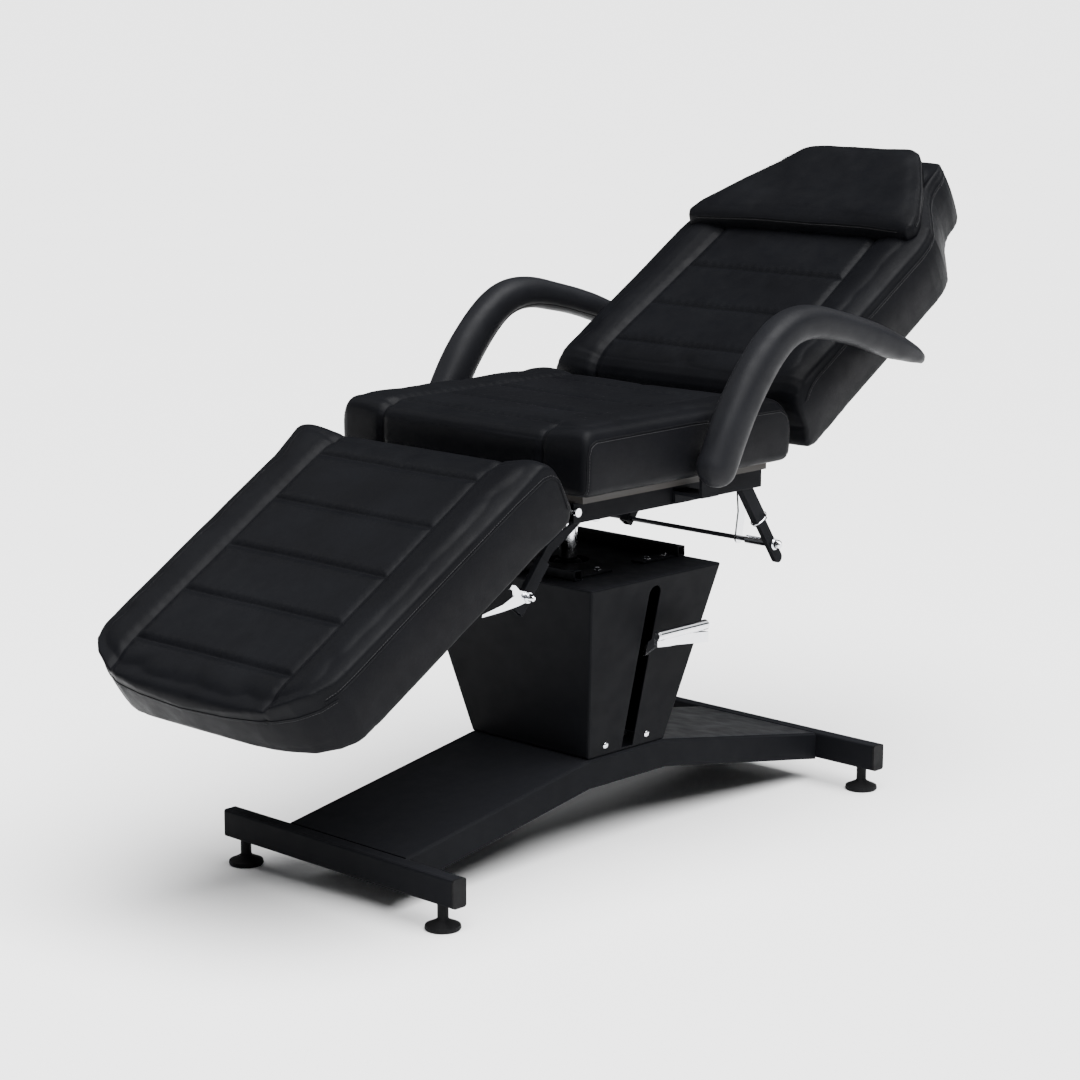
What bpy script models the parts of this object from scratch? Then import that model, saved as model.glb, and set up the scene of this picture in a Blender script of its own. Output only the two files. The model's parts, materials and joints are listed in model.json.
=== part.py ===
"""Facial treatment bed: hydraulic column, tilting back and leg rests, padded armrests.

Metres, +Z up. The head end is towards +Y, the pedal side is +X, and the floor is z = 0.
The origin is on the floor under the hydraulic column.
"""
import math

import bmesh
import bpy
import mathutils

# ---------------------------------------------------------------- driving dimensions
GAP = 0.0004                     # between pieces that touch

# base
CROSSBAR_HALF = 0.286
CROSSBAR_Y = 0.564
CROSSBAR_DEPTH = 0.030
CROSSBAR_TOP = 0.095
CROSSBAR_HEIGHT = 0.050
TUBE_WALL = 0.002
FOOT_X = 0.250
FOOT_RADIUS = 0.031
FOOT_SLEEVE_RADIUS = 0.0095
FOOT_STUD_RADIUS = 0.005
BASE_HALF_WIDTH = 0.149
BASE_RISE = 0.077                # the folded base climbs this much from crossbar to pedestal
BASE_FLAT_HALF = 0.102
SKIRT_DEPTH = 0.052
SHEET = 0.0025

# pedestal cover, an upside-down frustum
COVER_BOTTOM_HALF = (0.1462, 0.1018)
COVER_TOP_HALF = (0.219, 0.173)
COVER_TOP_Z = 0.503
COVER_HOLE_RADIUS = 0.040
SLOT_WIDTH = 0.030
SLOT_TOP_Z = 0.486
SLOT_BOTTOM_Z = 0.178

# hydraulics
RAM_RADIUS = 0.0175
PUMP_RADIUS = 0.034
PUMP_TOP_Z = 0.497
RAM_BOTTOM = 0.240
RAM_HEAD_LOW = 0.612
PEDAL_AXIS = (0.056, 0.0, 0.360)
PEDAL_PIN_RADIUS = 0.004
FOOT_BAR_RADIUS = 0.0095
FOOT_BAR_X = 0.238
FOOT_BAR_Y = (-0.023, 0.111)
FOOT_BAR_Z = 0.401

# seat frame
RAIL_X = 0.235
RAIL_WIDTH = 0.025
RAIL_BOTTOM = 0.635
RAIL_TOP = 0.671
RAIL_HALF_LENGTH = 0.248
CROSS_TUBE = 0.025
FRONT_TUBE_Y = -0.208
REAR_TUBE_Y = 0.222
SEAT_BOARD_TOP = 0.6855
SEAT_HALF_WIDTH = 0.300
SEAT_FRONT = -0.277
SEAT_REAR = 0.267
SEAT_TOP = 0.791

# back rest, in its own frame: y along the panel from the hinge, z along its normal
BACK_HINGE = (0.0, 0.3106, 0.712)
BACK_ANGLE = math.radians(32)
BACK_MID = 0.0375
BACK_THICKNESS = 0.116
BACK_START = 0.010
BACK_LENGTH = 0.752
BACK_TUBE_X = 0.160
EAR_X = 0.183
EAR_THICKNESS = 0.006
PIN_RADIUS = 0.004

# leg rest, in its own frame: -y along the panel from the hinge, z along its normal
LEG_HINGE = (0.0, -0.242, 0.655)
LEG_ANGLE = math.radians(32)
LEG_TOP = 0.146
LEG_THICKNESS = 0.110
LEG_START = 0.044
LEG_LENGTH = 0.655
LEG_PLATE_X = 0.2185
LEG_PLATE_THICKNESS = 0.006

BOARD_THICKNESS = 0.012

# armrests
ARMREST_X = 0.348
ARMREST_PIVOT = (0.026, 0.712)
ARMREST_PATH = [(0.000, 0.712), (0.035, 0.778), (0.080, 0.845), (0.131, 0.900), (0.186, 0.934),
                (0.250, 0.943), (0.330, 0.929), (0.430, 0.901), (0.530, 0.866), (0.592, 0.840)]
ARMREST_DEPTH = [0.036, 0.037, 0.036, 0.034, 0.032, 0.029, 0.027, 0.026, 0.023, 0.012]
ARMREST_HALF_X = 0.031

# front hanger arms, one flat strap each; the near one carries a sleeve and a bolt
STRAP_PATH = [(-0.2300, RAIL_BOTTOM - GAP), (-0.2960, 0.5980), (-0.3720, 0.5050)]
FRONT_BOLT = (-0.3552, 0.5256)

# telescopic strut between the cross rod and the back rest's far tube
STRUT_X = -0.1220
STRUT_TUBE_LENGTH = 0.212
STRUT_ROD_LENGTH = 0.186

# rear hanger arms with their cross rod
HANGER_TOP = (0.2155, RAIL_BOTTOM - GAP)
HANGER_PIVOT = (0.2970, 0.5214)
HANGER_TIP = (0.3110, 0.4940)
ROD_RADIUS = 0.0045

COLOURS = {
    "black_powder_coat": ((0.012, 0.012, 0.014), 0.45, 0.0),
    "black_vinyl": ((0.010, 0.010, 0.013), 0.42, 0.0),
    "chrome": ((0.80, 0.80, 0.82), 0.10, 1.0),
    "black_rubber": ((0.010, 0.010, 0.010), 0.75, 0.0),
    "cast_pump": ((0.030, 0.030, 0.032), 0.50, 0.0),
    "plywood": ((0.030, 0.024, 0.019), 0.70, 0.0),
}


# ---------------------------------------------------------------- helpers
def clear_scene():
    for obj in list(bpy.data.objects):
        bpy.data.objects.remove(obj, do_unlink=True)


def make_materials():
    made = {}
    for name, (colour, roughness, metallic) in COLOURS.items():
        material = bpy.data.materials.new(name)
        material.use_nodes = True
        shader = material.node_tree.nodes["Principled BSDF"]
        shader.inputs["Base Color"].default_value = (*colour, 1.0)
        shader.inputs["Roughness"].default_value = roughness
        shader.inputs["Metallic"].default_value = metallic
        made[name] = material
    return made


def place(name, bm, material, parent=None, smooth=False):
    """Turn a bmesh into a named object, with its faces pointing out."""
    bmesh.ops.recalc_face_normals(bm, faces=bm.faces)
    mesh = bpy.data.meshes.new(name)
    bm.to_mesh(mesh)
    bm.free()
    if smooth:
        mesh.shade_smooth()
        mesh.set_sharp_from_angle(angle=math.radians(40))
    obj = bpy.data.objects.new(name, mesh)
    bpy.context.scene.collection.objects.link(obj)
    if material is not None:
        mesh.materials.append(material)
    if parent is not None:
        obj.parent = parent
    return obj


def joint_empty(name, location, x_angle=0.0):
    empty = bpy.data.objects.new(name, None)
    empty.empty_display_size = 0.05
    empty.location = location
    empty.rotation_euler = (x_angle, 0.0, 0.0)
    bpy.context.scene.collection.objects.link(empty)
    return empty


def prism_bmesh(outline, axis, low, high):
    """Extrude a closed 2-D outline along 'X', 'Y' or 'Z' from low to high."""
    def corner(point, depth):
        a, b = point
        return {"X": (depth, a, b), "Y": (a, depth, b), "Z": (a, b, depth)}[axis]

    bm = bmesh.new()
    lower = [bm.verts.new(corner(p, low)) for p in outline]
    upper = [bm.verts.new(corner(p, high)) for p in outline]
    bm.faces.new(lower)
    bm.faces.new(list(reversed(upper)))
    count = len(outline)
    for i in range(count):
        j = (i + 1) % count
        bm.faces.new((lower[i], lower[j], upper[j], upper[i]))
    return bm


def prism(name, outline, axis, low, high, material, parent=None, smooth=False):
    return place(name, prism_bmesh(outline, axis, low, high), material, parent, smooth)


def box(name, low, high, material, parent=None, bevel=0.0):
    outline = [(low[0], low[1]), (high[0], low[1]), (high[0], high[1]), (low[0], high[1])]
    obj = prism(name, outline, "Z", low[2], high[2], material, parent)
    if bevel:
        round_edges(obj, bevel)
    return obj


def round_edges(obj, width, segments=2):
    modifier = obj.modifiers.new("rounded_edges", "BEVEL")
    modifier.width = width
    modifier.segments = segments
    modifier.limit_method = "ANGLE"
    modifier.angle_limit = math.radians(50)


def arc(centre, radius, start, end, steps):
    """Points on an arc, angles in degrees, both ends included."""
    points = []
    for i in range(steps + 1):
        angle = math.radians(start + (end - start) * i / steps)
        points.append((centre[0] + radius * math.cos(angle), centre[1] + radius * math.sin(angle)))
    return points


def rounded_rectangle(low, high, radii, steps=4):
    """Corners in order: low-low, high-low, high-high, low-high."""
    corners = [((low[0], low[1]), 180), ((high[0], low[1]), 270),
               ((high[0], high[1]), 0), ((low[0], high[1]), 90)]
    points = []
    for (corner, start), radius in zip(corners, radii):
        inward_a = 1 if corner[0] == low[0] else -1
        inward_b = 1 if corner[1] == low[1] else -1
        centre = (corner[0] + inward_a * radius, corner[1] + inward_b * radius)
        points += arc(centre, radius, start, start + 90, steps)
    return points


def turned(name, profile, axis, centre, material, parent=None, segments=24):
    """Spin a closed profile of (radius, distance along the axis) about an axis through centre."""
    bm = bmesh.new()
    rings = []
    for radius, along in profile:
        ring = []
        for i in range(segments):
            angle = 2 * math.pi * i / segments
            a, b = radius * math.cos(angle), radius * math.sin(angle)
            offset = {"X": (along, a, b), "Y": (b, along, a), "Z": (a, b, along)}[axis]
            ring.append(bm.verts.new([c + o for c, o in zip(centre, offset)]))
        rings.append(ring)
    for first, second in zip(rings, rings[1:]):
        for i in range(segments):
            j = (i + 1) % segments
            bm.faces.new((first[i], first[j], second[j], second[i]))
    bm.faces.new(list(reversed(rings[0])))
    bm.faces.new(rings[-1])
    return place(name, bm, material, parent, smooth=True)


def rectangular_tube(name, axis, low, high, size, centre, material, parent=None, corner=0.002):
    """An open-ended tube along X or Y; size and centre are (across, up)."""
    half = [s / 2 for s in size]
    outer = rounded_rectangle([c - h for c, h in zip(centre, half)],
                              [c + h for c, h in zip(centre, half)], [corner] * 4, 2)
    inner = rounded_rectangle([c - h + TUBE_WALL for c, h in zip(centre, half)],
                              [c + h - TUBE_WALL for c, h in zip(centre, half)],
                              [corner * 0.4] * 4, 2)
    bm = bmesh.new()
    ends = []
    for depth in (low, high):
        for outline in (outer, inner):
            if axis == "Y":
                ends.append([bm.verts.new((a, depth, b)) for a, b in outline])
            else:
                ends.append([bm.verts.new((depth, a, b)) for a, b in outline])
    outer_low, inner_low, outer_high, inner_high = ends
    count = len(outer)
    for i in range(count):
        j = (i + 1) % count
        bm.faces.new((outer_low[i], outer_low[j], outer_high[j], outer_high[i]))
        bm.faces.new((inner_low[j], inner_low[i], inner_high[i], inner_high[j]))
        bm.faces.new((outer_low[j], outer_low[i], inner_low[i], inner_low[j]))
        bm.faces.new((outer_high[i], outer_high[j], inner_high[j], inner_high[i]))
    return place(name, bm, material, parent, smooth=False)


def cutter(name, bm, parent=None):
    obj = place(name, bm, None, parent)
    obj.hide_render = True
    obj.display_type = "WIRE"
    return obj


def combine(target, tool, operation):
    modifier = target.modifiers.new(operation.lower(), "BOOLEAN")
    modifier.operation = operation
    modifier.solver = "EXACT"
    modifier.object = tool


def cylinder_bmesh(axis, centre, radius, low, high, segments=24):
    outline = arc(centre, radius, 0, 360 - 360 / segments, segments - 1)
    return prism_bmesh(outline, axis, low, high)


# ---------------------------------------------------------------- base
def make_base(mats):
    steel, rubber = mats["black_powder_coat"], mats["black_rubber"]
    bar_mid = CROSSBAR_TOP - CROSSBAR_HEIGHT / 2
    for end, sign in (("front", -1), ("rear", 1)):
        y = sign * CROSSBAR_Y
        bar = rectangular_tube(f"{end}_crossbar", "X", -CROSSBAR_HALF, CROSSBAR_HALF,
                               (CROSSBAR_DEPTH, CROSSBAR_HEIGHT), (y, bar_mid), steel,
                               corner=0.004)
        for side, x_sign in (("near", 1), ("far", -1)):
            under = CROSSBAR_TOP - CROSSBAR_HEIGHT
            bore = cylinder_bmesh("Z", (x_sign * FOOT_X, y), FOOT_STUD_RADIUS + GAP,
                                  under - 0.01, under + 0.01, 16)
            combine(bar, cutter(f"{end}_foot_bore_cutter_{side}", bore), "DIFFERENCE")
            make_crossbar_cap(f"{end}_crossbar_cap_{side}", x_sign, y, bar_mid, rubber)
            make_levelling_foot(f"{end}_foot_{side}", x_sign * FOOT_X, y, rubber)
    make_base_plate(steel)
    make_pedestal_cover(steel)
    make_stop_rails(steel)


def make_crossbar_cap(name, sign, y, z, material):
    """Plastic end cap: a rim outside the tube and a plug inside it."""
    half_y, half_z = CROSSBAR_DEPTH / 2, CROSSBAR_HEIGHT / 2
    inset = TUBE_WALL + GAP
    face = sign * (CROSSBAR_HALF + GAP)
    rim = rounded_rectangle((y - half_y, z - half_z), (y + half_y, z + half_z), [0.004] * 4, 2)
    plug = rounded_rectangle((y - half_y + inset, z - half_z + inset),
                             (y + half_y - inset, z + half_z - inset), [0.0012] * 4, 2)
    bm = bmesh.new()
    sections = [(plug, face - sign * 0.016), (plug, face), (rim, face), (rim, face + sign * 0.004)]
    loops = [[bm.verts.new((x, a, b)) for a, b in outline] for outline, x in sections]
    count = len(rim)
    for first, second in zip(loops, loops[1:]):
        for i in range(count):
            j = (i + 1) % count
            bm.faces.new((first[i], first[j], second[j], second[i]))
    bm.faces.new(loops[0])
    bm.faces.new(loops[-1])
    place(name, bm, material)


def make_levelling_foot(name, x, y, material):
    """Disc foot with a sleeve on its stud, screwed up to the underside of the crossbar."""
    stud_top = CROSSBAR_TOP - CROSSBAR_HEIGHT - GAP
    pivot = joint_empty(f"{name}_axis", (x, y, 0.0))
    profile = [(FOOT_RADIUS - 0.002, 0.0), (FOOT_RADIUS, 0.003), (FOOT_RADIUS - 0.001, 0.008),
               (FOOT_RADIUS * 0.62, 0.013), (FOOT_SLEEVE_RADIUS + 0.002, 0.017),
               (FOOT_SLEEVE_RADIUS, 0.020), (FOOT_SLEEVE_RADIUS, stud_top),
               (FOOT_STUD_RADIUS, stud_top), (FOOT_STUD_RADIUS, stud_top + 0.032)]
    turned(name, profile, "Z", (0, 0, 0), material, pivot)


def base_section(y):
    """Height of the base's top face at a given y."""
    run = CROSSBAR_Y - CROSSBAR_DEPTH / 2 - GAP - BASE_FLAT_HALF
    outside = max(0.0, abs(y) - BASE_FLAT_HALF)
    return CROSSBAR_TOP + BASE_RISE * (1 - outside / run)


def make_base_plate(material):
    """Folded sheet between the crossbars: sloped top faces, a flat middle and side skirts."""
    end = CROSSBAR_Y - CROSSBAR_DEPTH / 2 - GAP
    stations = [-end, -BASE_FLAT_HALF, BASE_FLAT_HALF, end]
    bm = bmesh.new()
    loops = []
    for y in stations:
        top = base_section(y)
        half, inner = BASE_HALF_WIDTH, BASE_HALF_WIDTH - SHEET
        fold = 0.004
        outline = [(-half, top - SKIRT_DEPTH), (-half, top - fold), (-half + fold, top),
                   (half - fold, top), (half, top - fold), (half, top - SKIRT_DEPTH),
                   (inner, top - SKIRT_DEPTH), (inner, top - fold), (half - fold, top - SHEET),
                   (-half + fold, top - SHEET), (-inner, top - fold), (-inner, top - SKIRT_DEPTH)]
        loops.append([bm.verts.new((x, y, z)) for x, z in outline])
    count = len(loops[0])
    for first, second in zip(loops, loops[1:]):
        for i in range(count):
            j = (i + 1) % count
            bm.faces.new((first[i], first[j], second[j], second[i]))
    bm.faces.new(loops[0])
    bm.faces.new(loops[-1])
    place("base_plate", bm, material)


def frustum_bmesh(bottom_half, top_half, low, high, shrink=0.0):
    outline_low = [(-1, -1), (1, -1), (1, 1), (-1, 1)]
    bm = bmesh.new()
    lower = [bm.verts.new((a * (bottom_half[0] - shrink), b * (bottom_half[1] - shrink), low))
             for a, b in outline_low]
    upper = [bm.verts.new((a * (top_half[0] - shrink), b * (top_half[1] - shrink), high))
             for a, b in outline_low]
    bm.faces.new(lower)
    bm.faces.new(list(reversed(upper)))
    for i in range(4):
        j = (i + 1) % 4
        bm.faces.new((lower[i], lower[j], upper[j], upper[i]))
    return bm


def cover_half_width(z, axis):
    """Half size of the cover at height z, along x (axis 0) or y (axis 1)."""
    low = CROSSBAR_TOP + BASE_RISE + GAP
    share = (z - low) / (COVER_TOP_Z - low)
    return COVER_BOTTOM_HALF[axis] + share * (COVER_TOP_HALF[axis] - COVER_BOTTOM_HALF[axis])


def make_pedestal_cover(material):
    low = CROSSBAR_TOP + BASE_RISE + GAP
    cover = place("pedestal_cover",
                  frustum_bmesh(COVER_BOTTOM_HALF, COVER_TOP_HALF, low, COVER_TOP_Z), material)
    round_edges(cover, 0.004, 2)
    below = low - 0.02
    widen = [cover_half_width(below, axis) for axis in (0, 1)]
    top = COVER_TOP_Z - SHEET
    inner_top = [cover_half_width(top, axis) for axis in (0, 1)]
    hollow = cutter("cover_hollow_cutter", frustum_bmesh(widen, inner_top, below, top, SHEET))
    combine(cover, hollow, "DIFFERENCE")
    hole = cutter("cover_hole_cutter", cylinder_bmesh("Z", (0, 0), COVER_HOLE_RADIUS,
                                                      COVER_TOP_Z - 0.02, COVER_TOP_Z + 0.02, 32))
    combine(cover, hole, "DIFFERENCE")
    half = SLOT_WIDTH / 2
    slot_outline = [(-half, SLOT_BOTTOM_Z)]
    slot_outline += [(half, SLOT_BOTTOM_Z)]
    slot_outline += arc((0, SLOT_TOP_Z - half), half, 0, 180, 10)
    slot = cutter("cover_slot_cutter", prism_bmesh(slot_outline, "X", 0.10, 0.26))
    combine(cover, slot, "DIFFERENCE")


def make_stop_rails(material):
    """Two small square tubes across the cover's top."""
    size = 0.019
    z = COVER_TOP_Z + GAP + size / 2
    for end, y, half in (("front", -0.128, 0.146), ("rear", 0.160, 0.134)):
        rectangular_tube(f"stop_rail_{end}", "X", -half, half, (size, size), (y, z), material,
                         corner=0.0015)


# ---------------------------------------------------------------- hydraulics and pedal
def make_hydraulics(mats):
    """Cast pump with a flange and a blind bore, and the ram in it."""
    bottom = CROSSBAR_TOP + BASE_RISE + GAP
    cast = mats["cast_pump"]
    inner = RAM_RADIUS + GAP
    flange = box("pump_body", (-0.085, -0.070, bottom), (0.085, 0.070, bottom + 0.010), cast,
                 bevel=0.003)
    outer = [(0.046, bottom + 0.004), (0.046, 0.222), (PUMP_RADIUS, 0.230),
             (PUMP_RADIUS, PUMP_TOP_Z - 0.020), (PUMP_RADIUS - 0.006, PUMP_TOP_Z - 0.014),
             (PUMP_RADIUS - 0.010, PUMP_TOP_Z), (inner, PUMP_TOP_Z), (inner, 0.205)]
    barrel = turned("pump_barrel_joiner", outer, "Z", (0, 0, 0), None, segments=32)
    barrel.hide_render = True
    barrel.display_type = "WIRE"
    combine(flange, barrel, "UNION")
    px, _, pz = PEDAL_AXIS
    for side, sign in (("near", 1), ("far", -1)):
        low, high = sorted((sign * 0.0065, sign * 0.0125))
        lug = box(f"pump_lug_joiner_{side}", (0.025, low, pz - 0.011), (px + 0.008, high, pz + 0.011),
                  None)
        lug.hide_render = True
        lug.display_type = "WIRE"
        combine(flange, lug, "UNION")
    pin = cutter("pump_pin_joiner", cylinder_bmesh("Y", (px, pz), PEDAL_PIN_RADIUS, -0.0145, 0.0145,
                                                   16))
    combine(flange, pin, "UNION")
    turned("ram", [(RAM_RADIUS, RAM_BOTTOM), (RAM_RADIUS, RAM_HEAD_LOW - GAP)], "Z", (0, 0, 0),
           mats["chrome"], segments=32)


def make_pedal(mats):
    """Flat lever out of the slot, bent along the side, with a round foot bar welded on top."""
    chrome = mats["chrome"]
    pivot = joint_empty("pedal_axis", PEDAL_AXIS)
    px, _, pz = PEDAL_AXIS
    half = 0.005
    bend = 0.022
    inner_x, outer_x = 0.047, FOOT_BAR_X
    # centreline of the flat bar in plan: straight out along x, then a bend into +y
    plan = [(inner_x - px, 0.0, 0.0), (0.130 - px, 0.0, -0.004), (0.185 - px, 0.0, 0.000)]
    for x, y in arc((outer_x - px - bend, bend), bend, -90, 0, 6):
        plan.append((x, y, 0.018 + 0.010 * (x + px - 0.185) / 0.05))
    plan.append((outer_x - px, FOOT_BAR_Y[1], FOOT_BAR_Z - pz - 0.0225))
    bm = bmesh.new()
    loops = []
    for i, point in enumerate(plan):
        before, after = plan[max(i - 1, 0)], plan[min(i + 1, len(plan) - 1)]
        run = mathutils.Vector((after[0] - before[0], after[1] - before[1], 0)).normalized()
        side = mathutils.Vector((run.y, -run.x, 0)) * half
        rise = mathutils.Vector((0, 0, 0.0095))
        centre = mathutils.Vector(point)
        loops.append([bm.verts.new(centre + a * side + b * rise)
                      for a, b in ((-1, -1), (1, -1), (1, 1), (-1, 1))])
    for first, second in zip(loops, loops[1:]):
        for i in range(4):
            j = (i + 1) % 4
            bm.faces.new((first[i], first[j], second[j], second[i]))
    bm.faces.new(loops[0])
    bm.faces.new(loops[-1])
    lever = place("pedal", bm, chrome, pivot)
    length = FOOT_BAR_Y[1] - FOOT_BAR_Y[0]
    end = 0.003
    profile = [(FOOT_BAR_RADIUS - end, 0.0), (FOOT_BAR_RADIUS, end),
               (FOOT_BAR_RADIUS, length - end), (FOOT_BAR_RADIUS - end, length)]
    bar = turned("foot_bar_joiner", profile, "Y",
                 (FOOT_BAR_X - px, FOOT_BAR_Y[0], FOOT_BAR_Z - pz), None, pivot, segments=20)
    bar.hide_render = True
    bar.display_type = "WIRE"
    combine(lever, bar, "UNION")
    bore = cutter("pedal_bore_cutter", cylinder_bmesh("Y", (0, 0), PEDAL_PIN_RADIUS + GAP, -0.01,
                                                      0.01, 16), pivot)
    combine(lever, bore, "DIFFERENCE")


# ---------------------------------------------------------------- seat frame
def make_seat(mats):
    steel, chrome = mats["black_powder_coat"], mats["chrome"]
    rail_mid = (RAIL_BOTTOM + RAIL_TOP) / 2
    rail_size = (RAIL_WIDTH, RAIL_TOP - RAIL_BOTTOM)
    rail_inner = RAIL_X - RAIL_WIDTH / 2
    for side, sign in (("near", 1), ("far", -1)):
        rail = rectangular_tube(f"seat_rail_{side}", "Y", -RAIL_HALF_LENGTH, RAIL_HALF_LENGTH,
                                rail_size, (sign * RAIL_X, rail_mid), steel)
        bore = cutter(f"rail_bore_cutter_{side}",
                      cylinder_bmesh("X", (LEG_HINGE[1], LEG_HINGE[2]), PIN_RADIUS + GAP,
                                     sign * (RAIL_X - 0.03), sign * (RAIL_X + 0.03), 16))
        combine(rail, bore, "DIFFERENCE")
        make_leg_hinge_bolt(f"leg_hinge_bolt_{side}", sign, chrome)
        make_hinge_ear(f"back_hinge_ear_{side}", sign, steel)
        make_back_hinge_pin(f"back_hinge_pin_{side}", sign, chrome)
        make_armrest_bracket(f"armrest_bracket_{side}", sign, steel)
    tube_top = RAIL_TOP - CROSS_TUBE / 2
    for end, y in (("front", FRONT_TUBE_Y), ("rear", REAR_TUBE_Y)):
        rectangular_tube(f"seat_cross_tube_{end}", "X", -rail_inner + GAP, rail_inner - GAP,
                         (CROSS_TUBE, CROSS_TUBE), (y, tube_top), steel)
    make_ram_head(steel)
    box("seat_board", (-0.265, -0.245, RAIL_TOP + GAP), (0.265, 0.240, SEAT_BOARD_TOP),
        mats["plywood"])
    outline = rounded_rectangle((SEAT_FRONT, SEAT_BOARD_TOP + GAP), (SEAT_REAR, SEAT_TOP),
                                [0.016, 0.016, 0.045, 0.024], 5)
    cushion = prism("seat_cushion", outline, "X", -SEAT_HALF_WIDTH, SEAT_HALF_WIDTH,
                    mats["black_vinyl"])
    round_edges(cushion, 0.012, 2)
    make_rear_hangers(steel, chrome)
    make_front_hangers(steel, chrome)


def make_ram_head(material):
    """Top-hat plate: a flat plate across the seat frame on a short socket over the ram."""
    low, high = RAM_HEAD_LOW, RAIL_TOP - GAP
    plate = box("ram_head", (-RAIL_X + RAIL_WIDTH / 2 + GAP, -0.075, high - 0.012),
                (RAIL_X - RAIL_WIDTH / 2 - GAP, 0.075, high), material)
    boss = cutter("ram_boss_joiner", cylinder_bmesh("Z", (0, 0), 0.036, low, high - 0.006, 24))
    combine(plate, boss, "UNION")


def make_leg_hinge_bolt(name, sign, material):
    """Bolt through the rail's front end and the leg rest's plate, with a head at each end."""
    inner_face = LEG_PLATE_X - LEG_PLATE_THICKNESS / 2
    outer_face = RAIL_X + RAIL_WIDTH / 2
    head = 0.0075
    profile = [(head, inner_face - GAP - 0.005), (head, inner_face - GAP),
               (PIN_RADIUS, inner_face - GAP), (PIN_RADIUS, outer_face + GAP),
               (head, outer_face + GAP), (head, outer_face + GAP + 0.005)]
    profile = [(r, sign * x) for r, x in profile]
    turned(name, profile, "X", LEG_HINGE, material, segments=16)


def make_hinge_ear(name, sign, material):
    """Plate from the rear cross tube up between the cushions to the back rest's pin."""
    y, z = BACK_HINGE[1], BACK_HINGE[2]
    face = REAR_TUBE_Y + CROSS_TUBE / 2 + GAP
    outline = [(face, RAIL_TOP - CROSS_TUBE), (face + 0.020, RAIL_TOP - CROSS_TUBE),
               (y + 0.004, z - 0.0095)]
    outline += arc((y, z), 0.0100, -50, 150, 8)
    outline += [(face + 0.035, RAIL_TOP + 0.004), (face, RAIL_TOP - 0.0005)]
    low = sign * EAR_X - EAR_THICKNESS / 2
    ear = prism(name, outline, "X", low, low + EAR_THICKNESS, material)
    bore = cutter(f"{name}_cutter", cylinder_bmesh("X", (y, z), PIN_RADIUS + GAP, low - 0.01,
                                                   low + EAR_THICKNESS + 0.01, 16))
    combine(ear, bore, "DIFFERENCE")


def make_back_hinge_pin(name, sign, material):
    knuckle_inner = EAR_X - EAR_THICKNESS * 1.5 - 0.0008
    ear_outer = EAR_X + EAR_THICKNESS / 2
    head = 0.0070
    profile = [(head, knuckle_inner - GAP - 0.004), (head, knuckle_inner - GAP),
               (PIN_RADIUS, knuckle_inner - GAP), (PIN_RADIUS, ear_outer + GAP),
               (head, ear_outer + GAP), (head, ear_outer + GAP + 0.004)]
    profile = [(r, sign * x) for r, x in profile]
    turned(name, profile, "X", BACK_HINGE, material, segments=16)


def make_armrest_bracket(name, sign, material):
    """Angle from the rail's outer face out to the armrest's pivot."""
    rail_face = RAIL_X + RAIL_WIDTH / 2 + GAP
    y, z = ARMREST_PIVOT
    arm_inner = ARMREST_X - ARMREST_HALF_X - 0.002
    outline = [(rail_face, RAIL_BOTTOM + 0.002), (rail_face + 0.006, RAIL_BOTTOM + 0.002),
               (rail_face + 0.006, 0.6540), (arm_inner, 0.6540), (arm_inner, z + 0.016),
               (arm_inner - 0.006, z + 0.016), (arm_inner - 0.006, 0.6600),
               (rail_face, 0.6600)]
    outline = [(sign * a, b) for a, b in outline]
    prism(name, outline, "Y", y - 0.022, y + 0.022, material)


def hanger_outline(top, tip, half_top, half_tip, round_end):
    """A straight bar in the y-z plane with a flat top end and, if asked, a round lower end."""
    run = mathutils.Vector((tip[0] - top[0], tip[1] - top[1])).normalized()
    side = mathutils.Vector((run.y, -run.x))
    corners = [mathutils.Vector(top) + side * half_top, mathutils.Vector(top) - side * half_top]
    if round_end:
        start = math.degrees(math.atan2(-side.y, -side.x))
        corners += [mathutils.Vector(p) for p in arc(tip, half_tip, start, start - 180, 8)]
    else:
        corners += [mathutils.Vector(tip) - side * half_tip, mathutils.Vector(tip) + side * half_tip]
    return [tuple(c) for c in corners]


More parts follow.
